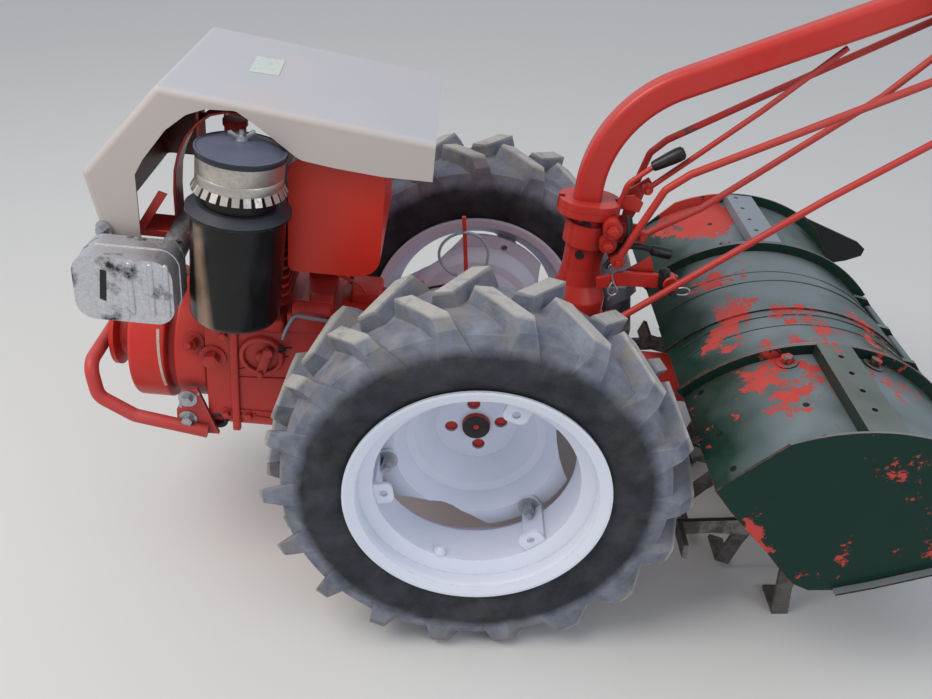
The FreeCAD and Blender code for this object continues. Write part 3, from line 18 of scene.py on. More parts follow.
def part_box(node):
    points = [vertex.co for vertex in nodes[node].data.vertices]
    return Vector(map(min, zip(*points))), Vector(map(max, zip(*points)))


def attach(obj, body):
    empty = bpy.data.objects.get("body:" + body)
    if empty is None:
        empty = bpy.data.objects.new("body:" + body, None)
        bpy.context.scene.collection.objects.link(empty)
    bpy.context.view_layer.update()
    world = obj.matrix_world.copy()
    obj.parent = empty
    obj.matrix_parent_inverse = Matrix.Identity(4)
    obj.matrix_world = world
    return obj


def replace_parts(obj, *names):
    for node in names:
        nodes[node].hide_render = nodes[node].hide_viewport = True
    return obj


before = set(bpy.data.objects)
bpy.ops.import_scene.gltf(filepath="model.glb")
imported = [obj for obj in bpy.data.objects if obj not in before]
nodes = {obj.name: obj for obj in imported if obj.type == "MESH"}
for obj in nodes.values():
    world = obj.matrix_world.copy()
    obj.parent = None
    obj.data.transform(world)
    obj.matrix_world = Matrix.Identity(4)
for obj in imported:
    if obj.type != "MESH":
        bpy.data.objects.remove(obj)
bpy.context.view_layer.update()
MM = 0.001

print("pieces in the frame:", len(nodes))

# %% [markdown]
# ## Where things are
#
# The machine is drawn level, with its origin on the wheel axle, and stands with its nose up on its tyres and tines.
# One matrix carries a spot on the level machine to the parked one, so each added piece is placed by the same
# distances that a fitter would measure on the real machine.

# %% Level machine to parked machine
PITCH = math.radians(6.07805)
AXLE_HEIGHT = 335 * MM
rim_low, rim_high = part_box("rim_left")
AXLE_PLACE = (rim_low.x + rim_high.x) / 2

parked = Matrix.Translation((AXLE_PLACE, 0, AXLE_HEIGHT)) @ Matrix.Rotation(-PITCH, 4, "Y")


def level_spot(x, y, z):
    """A spot in millimetres from the axle of the level machine, on the parked machine in metres."""
    return parked @ Vector((x * MM, y * MM, z * MM))


print("axle at", round(AXLE_PLACE, 4), "m, pitch", round(math.degrees(PITCH), 2), "degrees")

# %% [markdown]
# ## The camera
#
# The picture was taken from the machine's left side, at about the height of a standing person's chest, looking down.
# The place and the lens were worked out from the two wheel rims, whose real size is known. A picture 932 dots wide
# that covers 900 dots of focal length needs a lens of 34.8 mm on a 36 mm sensor.

# %% Camera
camera_data = bpy.data.cameras.new("camera")
camera_data.sensor_width = 36
camera_data.lens = 900 / 932 * 36
camera = bpy.data.objects.new("camera", camera_data)
camera.location = (AXLE_PLACE + 0.015, 1.398, 1.276)
camera.rotation_euler = (math.radians(90 - 32.69), 0, math.radians(180 + 0.11))
bpy.context.scene.collection.objects.link(camera)
bpy.context.scene.camera = camera

# %% [markdown]
# ## Floor and light
#
# A plain pale floor carries the machine, and the world gives a soft even light like an overcast day. One large soft
# lamp from the upper left of the picture gives the shadow side and the highlights along the tubes. The light is kept
# level, so a colour renders about as it is written.

# %% Colour helper
def linear(hex_colour):
    """An sRGB hex colour as the linear numbers that shaders take."""
    channels = [int(hex_colour[i : i + 2], 16) / 255 for i in (1, 3, 5)]
    return tuple(c / 12.92 if c <= 0.04045 else ((c + 0.055) / 1.055) ** 2.4 for c in channels) + (1.0,)


# %% One function for nodes
def add_node(tree, kind, inputs=None, take=0, **settings):
    """Adds a node and gives back one of its outputs. inputs maps a socket to a value, or to an output to link."""
    node = tree.nodes.new(kind)
    for name, value in settings.items():
        setattr(node, name, value)
    for key, value in (inputs or {}).items():
        socket = node.inputs[key]
        if isinstance(value, list):
            for output in value:
                tree.links.new(output, socket)
        elif isinstance(value, bpy.types.NodeSocket):
            tree.links.new(value, socket)
        else:
            socket.default_value = value
    return node.outputs[take]


def new_finish(name):
    """An empty finish: its material, its node tree and its shader."""
    finish = bpy.data.materials.new(name)
    finish.use_nodes = True
    return finish, finish.node_tree, finish.node_tree.nodes["Principled BSDF"]


# %% Floor
FLOOR_HALF = 7.0
floor_mesh = bpy.data.meshes.new("floor")
floor_mesh.from_pydata(
    [(-FLOOR_HALF, -FLOOR_HALF, 0), (FLOOR_HALF, -FLOOR_HALF, 0), (FLOOR_HALF, FLOOR_HALF, 0), (-FLOOR_HALF, FLOOR_HALF, 0)],
    [],
    [(0, 1, 2, 3)],
)
floor = bpy.data.objects.new("floor", floor_mesh)
bpy.context.scene.collection.objects.link(floor)

floor_finish, floor_tree, floor_shader = new_finish("pale_floor")
floor_shader.inputs["Base Color"].default_value = linear("#D6D6D4")
floor_shader.inputs["Roughness"].default_value = 0.9
floor_shader.inputs["Specular IOR Level"].default_value = 0.2
floor.data.materials.append(floor_finish)
print("floor", FLOOR_HALF * 2, "m square")

# %% Light
world = bpy.data.worlds.new("overcast")
bpy.context.scene.world = world
world.use_nodes = True
world.node_tree.nodes["Background"].inputs["Color"].default_value = linear("#E9EEF7")
world.node_tree.nodes["Background"].inputs["Strength"].default_value = 0.66


def soft_lamp(name, place, target, size, power, colour):
    lamp_data = bpy.data.lights.new(name, "AREA")
    lamp_data.shape = "DISK"
    lamp_data.size = size
    lamp_data.energy = power
    lamp_data.color = linear(colour)[:3]
    lamp = bpy.data.objects.new(name, lamp_data)
    lamp.location = place
    lamp.rotation_euler = (Vector(target) - Vector(place)).to_track_quat("-Z", "Y").to_euler()
    bpy.context.scene.collection.objects.link(lamp)
    return lamp


soft_lamp("sky_lamp", (2.2, 1.0, 3.6), (0, 0, 0.4), 2.4, 88, "#FFF8EE")
soft_lamp("fill_lamp", (-2.6, 2.6, 2.2), (-0.2, 0, 0.4), 2.2, 26, "#EAF1FF")
bpy.context.scene.view_settings.view_transform = "Standard"

# %% [markdown]
# ## Painted steel and castings
#
# Nearly all of this machine is enamel brushed or sprayed over steel and cast metal, decades ago. Such enamel fades in
# broad clouds, flakes in clusters down to the coat below, rubs bare along its edges, and keeps dust where it faces up.
# One function builds that in layers, because every painted piece shows the same four things in other amounts. It also
# paints shade into the corners where pieces meet, and paints sky light on faces that look up along with their fading.
# The pattern sizes are given in millimetres, and each layer reads the piece's own coordinates, so it stays put when the
# piece moves.

# %% Layers that the finishes share
def pattern_noise(tree, size_mm, detail=4.0, rough=0.55, shift=0.0, stretch=(1, 1, 1)):
    """Cloudy noise whose blobs are about this many millimetres across, on the piece's own coordinates."""
    coords = add_node(tree, "ShaderNodeTexCoord", take="Object")
    moved = add_node(
        tree,
        "ShaderNodeMapping",
        {"Vector": coords, "Location": (shift, shift * 0.7, shift * 1.3), "Scale": stretch},
    )
    return add_node(
        tree,
        "ShaderNodeTexNoise",
        {"Vector": moved, "Scale": 1 / (size_mm * MM), "Detail": detail, "Roughness": rough},
        take="Fac",
    )


def cloud_mask(tree, size_mm, low, high, detail=5.0, shift=0.0, most=1.0):
    """Zero where the noise is under low, and most where it is over high."""
    noise = pattern_noise(tree, size_mm, detail, 0.62, shift)
    return add_node(tree, "ShaderNodeMapRange", {"Value": noise, "From Min": low, "From Max": high, "To Max": most})


def facing_up(tree, low, high):
    """How far a surface of the piece faces up, from its own normal."""
    normal = add_node(tree, "ShaderNodeTexCoord", take="Normal")
    upward = add_node(tree, "ShaderNodeSeparateXYZ", {0: normal}, take="Z")
    return add_node(tree, "ShaderNodeMapRange", {"Value": upward, "From Min": low, "From Max": high})


def sharp_edges(tree, radius_mm):
    """One along outer and inner edges, and zero on flats."""
    rounded = add_node(tree, "ShaderNodeBevel", {"Radius": radius_mm * MM}, samples=4)
    flat = add_node(tree, "ShaderNodeNewGeometry", take="Normal")
    alike = add_node(tree, "ShaderNodeVectorMath", {0: rounded, 1: flat}, take="Value", operation="DOT_PRODUCT")
    return add_node(tree, "ShaderNodeMapRange", {"Value": alike, "From Min": 0.995, "From Max": 0.85})


# %% Worn enamel
def worn_enamel(
    name,
    paint,
    faded_and_sky_lit,
    under,
    dust,
    chip_mm=45,
    chip_share=0.62,
    cluster_mm=160,
    edge_wear=0.6,
    dust_share=0.35,
    fade_up=0.0,
    fade_and_sky_from=0.15,
    fade_start=0.75,
    gloss=0.42,
    shine=0.35,
    coat=0.0,
    shift=0.0,
    lay_over=None,
    crevice_shade=0.55,
    patches=(),
):
    """Enamel that has faded, flaked and gathered dust, with painted shade in its crevices and painted sky light with
    the fading on faces that look up. chip_share near 1 is hardly chipped. Patches flake most.
    """
    finish, tree, shader = new_finish(name)
    clouds = cloud_mask(tree, 320, 0.35, 0.7, 3, shift)
    mottle = cloud_mask(tree, 24, 0.3, 0.75, 6, shift + 3, 0.45)
    fade_and_sky_light = add_node(tree, "ShaderNodeMath", {0: clouds, 1: mottle}, operation="MAXIMUM")
    # faces that look up take the paler, bluer colour: partly faded paint, partly painted sky light
    if fade_up:
        upward = facing_up(tree, fade_and_sky_from, 0.97)
        fade_and_sky_light = add_node(tree, "ShaderNodeMath", {0: upward, 1: fade_up, 2: clouds}, operation="MULTIPLY_ADD")
        fade_and_sky_light = add_node(tree, "ShaderNodeMapRange", {"Value": fade_and_sky_light, "From Min": fade_start, "From Max": 1.75})
    colour = add_node(tree, "ShaderNodeMix", {0: fade_and_sky_light, 6: linear(paint), 7: linear(faded_and_sky_lit)}, take=2, data_type="RGBA")
    if lay_over:
        colour = lay_over(tree, colour)

    flakes = pattern_noise(tree, chip_mm, 12, 0.74, shift + 7)
    clusters = pattern_noise(tree, cluster_mm, 2, 0.5, shift + 11)
    clusters = add_node(
        tree,
        "ShaderNodeMapRange",
        {"Value": clusters, "From Min": 0.35, "From Max": 0.68, "To Min": -0.16, "To Max": 0.1},
    )
    chips = add_node(tree, "ShaderNodeMath", {0: flakes, 1: clusters}, operation="ADD")
    for spot, reach in patches:
        place = add_node(tree, "ShaderNodeTexCoord", take="Object")
        away = add_node(
            tree, "ShaderNodeVectorMath", {0: place, 1: level_spot(*spot)}, take="Value", operation="DISTANCE"
        )
        near = add_node(
            tree, "ShaderNodeMapRange", {"Value": away, "From Min": 2.2 * reach * MM, "From Max": 0.0, "To Max": 0.165}
        )
        chips = add_node(tree, "ShaderNodeMath", {0: chips, 1: near}, operation="ADD")
    chips = add_node(tree, "ShaderNodeMapRange", {"Value": chips, "From Min": chip_share, "From Max": chip_share + 0.012})
    rubbed = add_node(
        tree, "ShaderNodeMath", {0: sharp_edges(tree, 2.2), 1: cloud_mask(tree, 9, 0.42, 0.6, 5, shift + 5)}, operation="MULTIPLY"
    )
    rubbed = add_node(tree, "ShaderNodeMath", {0: rubbed, 1: edge_wear}, operation="MULTIPLY")
    bare = add_node(tree, "ShaderNodeMath", {0: chips, 1: rubbed}, operation="MAXIMUM")
    colour = add_node(tree, "ShaderNodeMix", {0: bare, 6: colour, 7: linear(under)}, take=2, data_type="RGBA")

    settled = add_node(
        tree,
        "ShaderNodeMath",
        {0: facing_up(tree, -0.1, 1.0), 1: cloud_mask(tree, 70, 0.35, 0.75, 6, shift + 2, dust_share)},
        operation="MULTIPLY",
    )
    colour = add_node(tree, "ShaderNodeMix", {0: settled, 6: colour, 7: linear(dust)}, take=2, data_type="RGBA")
    # painted shade: the colour darkens towards dark brown in corners and crevices where pieces meet, by ambient
    # occlusion
    open_sky = add_node(tree, "ShaderNodeAmbientOcclusion", {"Distance": 0.05}, take="AO", samples=6)
    corner_shade_mix = add_node(tree, "ShaderNodeMapRange", {"Value": open_sky, "From Min": 0.25, "From Max": 0.85, "To Min": crevice_shade, "To Max": 0.0})
    colour = add_node(tree, "ShaderNodeMix", {0: corner_shade_mix, 6: colour, 7: linear("#1C1512")}, take=2, data_type="RGBA")
    tree.links.new(colour, shader.inputs["Base Color"])

    dull = add_node(tree, "ShaderNodeMath", {0: fade_and_sky_light, 1: 0.3, 2: settled}, operation="MULTIPLY_ADD")
    rough = add_node(tree, "ShaderNodeMapRange", {"Value": dull, "To Min": gloss, "To Max": 0.85})
    tree.links.new(rough, shader.inputs["Roughness"])
    shader.inputs["Specular IOR Level"].default_value = shine
    shader.inputs["Coat Weight"].default_value = coat
    shader.inputs["Coat Roughness"].default_value = 0.25
    coat_height = add_node(tree, "ShaderNodeMath", {0: 1.0, 1: bare}, operation="SUBTRACT")
    relief = add_node(
        tree, "ShaderNodeMath", {0: pattern_noise(tree, 5, 4, 0.6, shift), 1: 0.25, 2: coat_height}, operation="MULTIPLY_ADD"
    )
    bump = add_node(tree, "ShaderNodeBump", {"Height": relief, "Strength": 0.5, "Distance": 0.0006})
    tree.links.new(bump, shader.inputs["Normal"])
    return finish


# %% The hood's inside
# The sheet was sprayed dark red first, and the pale coat went on from outside, so the inside is still dark red.
HOOD_MIDDLE = parked @ Vector((0.40, 0, 0.42))


def dark_inside(tree, colour):
    """Dark red primer where a face of the hood looks back at the middle of the space that it covers."""
    place = add_node(tree, "ShaderNodeTexCoord", take="Object")
    outward = add_node(tree, "ShaderNodeVectorMath", {0: place, 1: HOOD_MIDDLE}, operation="SUBTRACT")
    outward = add_node(tree, "ShaderNodeVectorMath", {0: outward, 1: (0.15, 1.0, 1.0)}, operation="MULTIPLY")
    normal = add_node(tree, "ShaderNodeTexCoord", take="Normal")
    agree = add_node(tree, "ShaderNodeVectorMath", {0: outward, 1: normal}, take="Value", operation="DOT_PRODUCT")
    inside = add_node(tree, "ShaderNodeMapRange", {"Value": agree, "From Min": 0.0, "From Max": -0.01})
    return add_node(tree, "ShaderNodeMix", {0: inside, 6: colour, 7: linear("#4A1F1C")}, take=2, data_type="RGBA")


# %% The machine's paints
red_enamel = worn_enamel(
    "red_enamel", "#C2261C", "#C53C33", "#5A3B33", "#B79C98", chip_share=0.76, dust_share=0.12, gloss=0.3, coat=0.2
)
red_casting = worn_enamel(
    "red_enamel_on_casting",
    "#CB2A20",
    "#C83F38",
    "#4A3530",
    "#A98B85",
    chip_share=0.75,
    dust_share=0.12,
    gloss=0.34,
    shift=2.0,
)
# painted light: a brighter copy of the red enamel for the tank, which stands in strong light, with weaker painted
# crevice shade
lit_tank_enamel = worn_enamel(
    "red_tank_enamel", "#E2301F", "#D8402F", "#5A3B33", "#B79C98", chip_share=0.8, dust_share=0.08, gloss=0.26, crevice_shade=0.35
)
bumper_enamel = worn_enamel(
    "chipped_bumper_enamel",
    "#BC2A24",
    "#C24A48",
    "#B4B7C2",
    "#B79C98",
    chip_mm=34,
    chip_share=0.635,
    dust_share=0.12,
    gloss=0.34,
    shift=5.0,
)
rod_enamel = worn_enamel(
    "rubbed_rod_enamel",
    "#BE2B22",
    "#B5433D",
    "#5C463F",
    "#B79C98",
    chip_mm=70,
    chip_share=0.66,
    cluster_mm=140,
    dust_share=0.1,
    gloss=0.36,
    shift=8.0,
)
# the hood's top takes the cool grey and its sides the warm beige: partly faded paint, partly painted sky light
hood_enamel = worn_enamel(
    "faded_hood_enamel",
    "#BFB4AE",
    "#B3B5BD",
    "#7A6C60",
    "#C4BCB4",
    chip_share=0.83,
    edge_wear=0.25,
    dust_share=0.2,
    fade_up=1.15,
    gloss=0.42,
    lay_over=dark_inside,
    crevice_shade=0.3,
)
rim_enamel = worn_enamel(
    "rim_enamel",
    "#DCE1F0",
    "#E4E8F3",
    "#3B302C",
    "#B3A795",
    chip_mm=16,
    chip_share=0.79,
    edge_wear=0.45,
    dust_share=0.1,
    gloss=0.32,
    crevice_shade=0.3,
)
# spots of the covers that have flaked most, on the level machine, and how far each reaches, in millimetres
FLAKED = [
    ((-437, -348, 189), 48),
    ((-470, -300, 203), 42),
    ((-500, -385, 209), 46),
    ((-462, -96, 199), 38),
    ((-437, 10, 192), 27),
    ((-405, 89, 171), 28),
    ((-517, 270, 212), 66),
    ((-500, 225, 210), 50),
    ((-455, 300, 196), 50),
    ((-430, 210, 186), 26),
    ((-387, 290, 159), 48),
    ((-625, 250, 206), 55),
    ((-430, 430, 10), 34),
    ((-400, 430, 62), 26),
    ((-560, 430, 10), 20),
]
tiller_enamel = worn_enamel(
    "green_enamel_over_red",
    "#14322A",
    "#7A888D",
    "#C2463F",
    "#8C8F8A",
    chip_mm=40,
    chip_share=0.62,
    cluster_mm=210,
    edge_wear=0.7,
    dust_share=0.14,
    fade_up=1.15,
    fade_and_sky_from=0.62,
    fade_start=0.85,
    gloss=0.34,
    shine=0.12,
    patches=FLAKED,
)
black_enamel = worn_enamel(
    "black_enamel",
    "#0B0C0F",
    "#3E414C",
    "#6B5A49",
    "#6F6A66",
    chip_share=0.84,
    edge_wear=0.3,
    dust_share=0.06,
    fade_up=1.15,
    gloss=0.3,
)


# %% The filter's lid and bowl, and the straps of the covers
FILTER_MIDDLE = level_spot(390, 180, 300)


def tan_streak(tree, colour):
    """A broad streak down the front left of the bowl, where dust has stuck to an old run of oil."""
    place = add_node(tree, "ShaderNodeTexCoord", take="Object")
    away = add_node(tree, "ShaderNodeVectorMath", {0: place, 1: FILTER_MIDDLE}, operation="SUBTRACT")
    parts = tree.nodes.new("ShaderNodeSeparateXYZ")
    tree.links.new(away, parts.inputs[0])
    angle = add_node(tree, "ShaderNodeMath", {0: parts.outputs["X"], 1: parts.outputs["Y"]}, operation="ARCTAN2")
    rise = add_node(tree, "ShaderNodeMapRange", {"Value": angle, "From Min": 0.5, "From Max": 0.68})
    fall = add_node(tree, "ShaderNodeMapRange", {"Value": angle, "From Min": 0.96, "From Max": 0.86})
    below = add_node(tree, "ShaderNodeMapRange", {"Value": parts.outputs["Z"], "From Min": 0.064, "From Max": 0.056})
    band = add_node(tree, "ShaderNodeMath", {0: rise, 1: fall}, operation="MULTIPLY")
    band = add_node(tree, "ShaderNodeMath", {0: band, 1: below}, operation="MULTIPLY")
    band = add_node(tree, "ShaderNodeMath", {0: band, 1: cloud_mask(tree, 60, 0.1, 0.6, 6, 4, 0.95)}, operation="MULTIPLY")
    return add_node(tree, "ShaderNodeMix", {0: band, 6: colour, 7: linear("#9A806B")}, take=2, data_type="RGBA")


bowl_enamel = worn_enamel(
    "black_bowl_enamel",
    "#0B0C0F",
    "#3E414C",
    "#6B5A49",
    "#6F6A66",
    chip_share=0.84,
    edge_wear=0.3,
    dust_share=0.06,
    fade_up=1.15,
    gloss=0.26,
    lay_over=tan_streak,
)
# the lid's dome looks up, so most of it takes the pale blue grey: partly weathered paint, partly painted sky light
lid_enamel = worn_enamel(
    "weathered_lid_enamel",
    "#2A2C36",
    "#666A80",
    "#6B5A49",
    "#8A8A90",
    chip_share=0.86,
    edge_wear=0.3,
    dust_share=0.1,
    fade_up=1.15,
    gloss=0.22,
)


def paler_far_side(tree, colour):
    """The strap on the far cover has lost its green and weathered to a pale grey."""
    place = add_node(tree, "ShaderNodeTexCoord", take="Object")
    side = add_node(tree, "ShaderNodeSeparateXYZ", {0: place}, take="Y")
    far = add_node(tree, "ShaderNodeMapRange", {"Value": side, "From Min": 0.05, "From Max": -0.05, "To Max": 0.85})
    return add_node(tree, "ShaderNodeMix", {0: far, 6: colour, 7: linear("#8E99A6")}, take=2, data_type="RGBA")


strap_enamel = worn_enamel(
    "green_strap_enamel",
    "#24352E",
    "#67726F",
    "#B5453C",
    "#8C8F8A",
    chip_mm=40,
    chip_share=0.64,
    edge_wear=0.5,
    dust_share=0.3,
    fade_up=1.15,
    gloss=0.4,
    lay_over=paler_far_side,
)
print("paints:", [m.name for m in bpy.data.materials if "enamel" in m.name])

# %% [markdown]
# ## Tyre rubber
#
# Old tractor tyres are carbon black rubber whose tread has turned a chalky blue grey, while the side wall, which the
# road never scuffs, stays dark. Soil stays on the tops and shoulders of the lugs. The finish therefore follows the
# distance from the axle, in metres: side wall, shoulder, tread between the lugs, and the tops of the lugs.

# %% Dusty tyre rubber
LUG_TOP = 0.333


def tyre_rubber():
    finish, tree, shader = new_finish("dusty_tyre_rubber")
    coords = add_node(tree, "ShaderNodeTexCoord", take="Object")
    from_axle = add_node(
        tree,
        "ShaderNodeMapping",
        {"Vector": coords, "Location": (-AXLE_PLACE, 0, -AXLE_HEIGHT), "Scale": (1, 0, 1)},
    )
    radius = add_node(tree, "ShaderNodeVectorMath", {0: from_axle}, take="Value", operation="LENGTH")
    wall = add_node(
        tree,
        "ShaderNodeMix",
        {0: cloud_mask(tree, 60, 0.35, 0.7), 6: linear("#1F2126"), 7: linear("#3A3D45")},
        take=2,
        data_type="RGBA",
    )
    tread = add_node(
        tree,
        "ShaderNodeMix",
        {0: cloud_mask(tree, 45, 0.35, 0.68, 8, 4), 6: linear("#626675"), 7: linear("#8A8E9B")},
        take=2,
        data_type="RGBA",
    )
    outward = add_node(tree, "ShaderNodeMapRange", {"Value": radius, "From Min": 0.258, "From Max": 0.292})
    ragged = add_node(tree, "ShaderNodeMath", {0: pattern_noise(tree, 30, 6, 0.6, 2), 1: 0.5, 2: outward}, operation="MULTIPLY_ADD")
    outward = add_node(tree, "ShaderNodeMapRange", {"Value": ragged, "From Min": 0.5, "From Max": 1.05})
    colour = add_node(tree, "ShaderNodeMix", {0: outward, 6: wall, 7: tread}, take=2, data_type="RGBA")
    soil = add_node(
        tree,
        "ShaderNodeMath",
        {
            0: cloud_mask(tree, 50, 0.46, 0.64, 8, 9),
            1: add_node(tree, "ShaderNodeMapRange", {"Value": radius, "From Min": 0.26, "From Max": 0.33, "To Min": 0.08, "To Max": 0.7}),
        },
        operation="MULTIPLY",
    )
    colour = add_node(tree, "ShaderNodeMix", {0: soil, 6: colour, 7: linear("#8F887C")}, take=2, data_type="RGBA")
    top = add_node(
        tree,
        "ShaderNodeMath",
        {
            0: add_node(tree, "ShaderNodeMapRange", {"Value": radius, "From Min": LUG_TOP - 0.006, "From Max": LUG_TOP - 0.001}),
            1: cloud_mask(tree, 18, 0.2, 0.5, 6, 3, 0.85),
        },
        operation="MULTIPLY",
    )
    colour = add_node(tree, "ShaderNodeMix", {0: top, 6: colour, 7: linear("#B5B3AE")}, take=2, data_type="RGBA")
    rubbed = add_node(
        tree,
        "ShaderNodeMath",
        {
            0: sharp_edges(tree, 6),
            1: add_node(tree, "ShaderNodeMapRange", {"Value": radius, "From Min": 0.27, "From Max": 0.32, "To Min": 0.05, "To Max": 0.6}),
        },
        operation="MULTIPLY",
    )
    rubbed = add_node(tree, "ShaderNodeMath", {0: rubbed, 1: cloud_mask(tree, 14, 0.35, 0.65, 4, 6)}, operation="MULTIPLY")
    colour = add_node(tree, "ShaderNodeMix", {0: rubbed, 6: colour, 7: linear("#A8A297")}, take=2, data_type="RGBA")
    tree.links.new(colour, shader.inputs["Base Color"])
    shader.inputs["Roughness"].default_value = 0.78
    shader.inputs["Specular IOR Level"].default_value = 0.35
    # fine moulded rings on the side wall, and the grit of old rubber
    rings = add_node(tree, "ShaderNodeTexNoise", {"W": radius, "Scale": 220.0, "Detail": 2.0}, noise_dimensions="1D")
    relief = add_node(tree, "ShaderNodeMath", {0: rings, 1: 0.5, 2: pattern_noise(tree, 4, 6, 0.7, 1)}, operation="MULTIPLY_ADD")
    bump = add_node(tree, "ShaderNodeBump", {"Height": relief, "Strength": 0.6, "Distance": 0.0012})
    tree.links.new(bump, shader.inputs["Normal"])
    return finish


old_rubber = tyre_rubber()
print(old_rubber.name, "with lug tops at", LUG_TOP, "m from the axle")

# %% [markdown]
# ## Bare and sooty metal
#
# The muffler is pressed aluminised steel, blackened by oil and soot round its joints. Tines, pins and bolts are bare or
# zinc plated steel that has dulled and rusted in spots. Each of these is a metal with stains that are not metallic, so
# one function mixes the two by a blotchy mask.

# %% Bare and sooty metal
def bare_metal(name, clean, stain, stain_share, rough, stain_mm=30, metallic=1.0, shift=0.0):
    """Metal with stains of rust, soil or soot that aren't metallic."""
    finish, tree, shader = new_finish(name)
    blotch = cloud_mask(tree, stain_mm, stain_share, stain_share + 0.14, 8, shift)
    speck = cloud_mask(tree, 4, 0.3, 0.8, 4, shift + 1, 0.35)
    stained = add_node(tree, "ShaderNodeMath", {0: blotch, 1: speck}, operation="MAXIMUM")
    colour = add_node(tree, "ShaderNodeMix", {0: stained, 6: linear(clean), 7: linear(stain)}, take=2, data_type="RGBA")
    tree.links.new(colour, shader.inputs["Base Color"])
    metal = add_node(tree, "ShaderNodeMapRange", {"Value": stained, "To Min": metallic, "To Max": 0.0})
    tree.links.new(metal, shader.inputs["Metallic"])
    dull = add_node(tree, "ShaderNodeMapRange", {"Value": stained, "To Min": rough, "To Max": 0.85})
    tree.links.new(dull, shader.inputs["Roughness"])
    bump = add_node(tree, "ShaderNodeBump", {"Height": stained, "Strength": 0.4, "Distance": 0.0005})
    tree.links.new(bump, shader.inputs["Normal"])
    return finish


tine_steel = bare_metal("soiled_tine_steel", "#7E7A78", "#4F4842", 0.42, 0.45)
zinc_steel = bare_metal("zinc_plated_steel", "#B9BCC2", "#6D655A", 0.6, 0.3, 12)
strap_steel = bare_metal("weathered_strap_steel", "#A3ABB6", "#6C6A68", 0.55, 0.5, 40, 0.55)
sooty_aluminium = bare_metal("sooty_aluminium", "#DADADF", "#24211F", 0.51, 0.4, 44)
cap_aluminium = bare_metal("pressed_aluminium", "#C9C3BA", "#4A4038", 0.6, 0.3, 30, shift=4)
dark_iron = bare_metal("dark_oiled_iron", "#3A3736", "#1F1C1B", 0.5, 0.5, 25, 0.6)


# %% Moulded plastic and rubber
def moulded_plastic(name, colour, worn, gloss):
    finish, tree, shader = new_finish(name)
    scuff = cloud_mask(tree, 8, 0.5, 0.75, 5)
    colour = add_node(tree, "ShaderNodeMix", {0: scuff, 6: linear(colour), 7: linear(worn)}, take=2, data_type="RGBA")
    tree.links.new(colour, shader.inputs["Base Color"])
    shader.inputs["Roughness"].default_value = gloss
    bump = add_node(tree, "ShaderNodeBump", {"Height": pattern_noise(tree, 2, 3, 0.6), "Strength": 0.3, "Distance": 0.0003})
    tree.links.new(bump, shader.inputs["Normal"])
    return finish


grip_rubber = moulded_plastic("grip_rubber", "#151516", "#34322F", 0.65)
knob_plastic = moulded_plastic("black_knob_plastic", "#0F1011", "#2B2A29", 0.4)
print("plain finishes:", grip_rubber.name, knob_plastic.name)

# %% [markdown]
# ## The frame's pieces take their finishes
#
# A piece whose solid already has its form keeps it and only changes its material. One table says which piece has
# which finish.

# %% Finishes for the frame's pieces
FINISHES = {
    "tyre_": old_rubber,
    "rim_": rim_enamel,
    "wheel_disc_": rim_enamel,
    "wheel_hub_": red_casting,
    "gearbox": red_casting,
    "column": red_enamel,
    "beam": red_enamel,
    "rod_": rod_enamel,
    "hitch_bracket": red_enamel,
    "handle": red_enamel,
    "grips": grip_rubber,
    "crankcase": red_casting,
    "fan_housing": red_casting,
    "starting_pulley": red_casting,
    "cylinder": red_casting,
    "tank_bracket": red_enamel,
    "hood_frame": red_enamel,
    "carburettor": sooty_aluminium,
    "fuel_tank": lit_tank_enamel,
    "filter_bowl": bowl_enamel,
    "filter_cap": cap_aluminium,
    "muffler": sooty_aluminium,
    "exhaust_pipe": sooty_aluminium,
    "hood": hood_enamel,
    "bumper": bumper_enamel,
    "drive_case": red_casting,
    "cover_": tiller_enamel,
    "cover_straps": strap_enamel,
    "hinge_rod": tine_steel,
    "rear_flap": tiller_enamel,
    "rotor": tine_steel,
    "depth_arm": black_enamel,
}


def finish_for(name):
    """The finish of the longest key that the name starts with."""
    return FINISHES[max((key for key in FINISHES if name.startswith(key)), key=len)]


for name, node in nodes.items():
    node.data.materials.clear()
    node.data.materials.append(finish_for(name))
print("finished", len(nodes), "pieces")

# %% [markdown]
# ## Placing small pieces
#
# The small pieces are drawn in millimetres on the level machine and carried to the parked one at the end, so that
# every finished piece sits at the origin with its place in its mesh. Where a piece rests on a surface, a ray is cast
# on the solid to find the spot and the way that the surface faces, as a fitter would feel for it with a finger.

# %% Spots and rays
def level_way(x, y, z):
    """A direction on the level machine, turned to the parked one."""
    return (parked.to_3x3() @ Vector((x, y, z))).normalized()


def feel(node, start, way):
    """Where a ray from a spot along a way meets a solid, with its facing there. Over a bolt hole, no ray is cast."""
    if node is None:
        return level_spot(*start), -level_way(*way)
    bpy.context.view_layer.update()
    hit, place, facing, _ = nodes[node].ray_cast(level_spot(*start), level_way(*way))
    if not hit:
        raise RuntimeError(f"the ray from {start} misses {node}")
    return place, facing


to_level = parked.inverted()


# %% Keeping a finished piece
def keep_piece(name, mesh, finish, body="chassis"):
    piece = bpy.data.objects.new(name, mesh)
    bpy.context.scene.collection.objects.link(piece)
    mesh.materials.clear()
    mesh.materials.append(finish)
    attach(piece, body)
    print(name, len(mesh.polygons), "faces, rides on", body)
    return piece


def park_form(name, form, smooth=False):
    """A form drawn in millimetres on the level machine, as a mesh on the parked machine."""
    bmesh.ops.remove_doubles(form, verts=form.verts, dist=0.01)
    bmesh.ops.recalc_face_normals(form, faces=form.faces)
    bmesh.ops.transform(form, matrix=parked @ Matrix.Scale(MM, 4), verts=form.verts)
    for face in form.faces:
        face.smooth = smooth
    mesh = bpy.data.meshes.new(name)
    form.to_mesh(mesh)
    form.free()
    if smooth:
        mesh.set_sharp_from_angle(angle=math.radians(35))
    return mesh


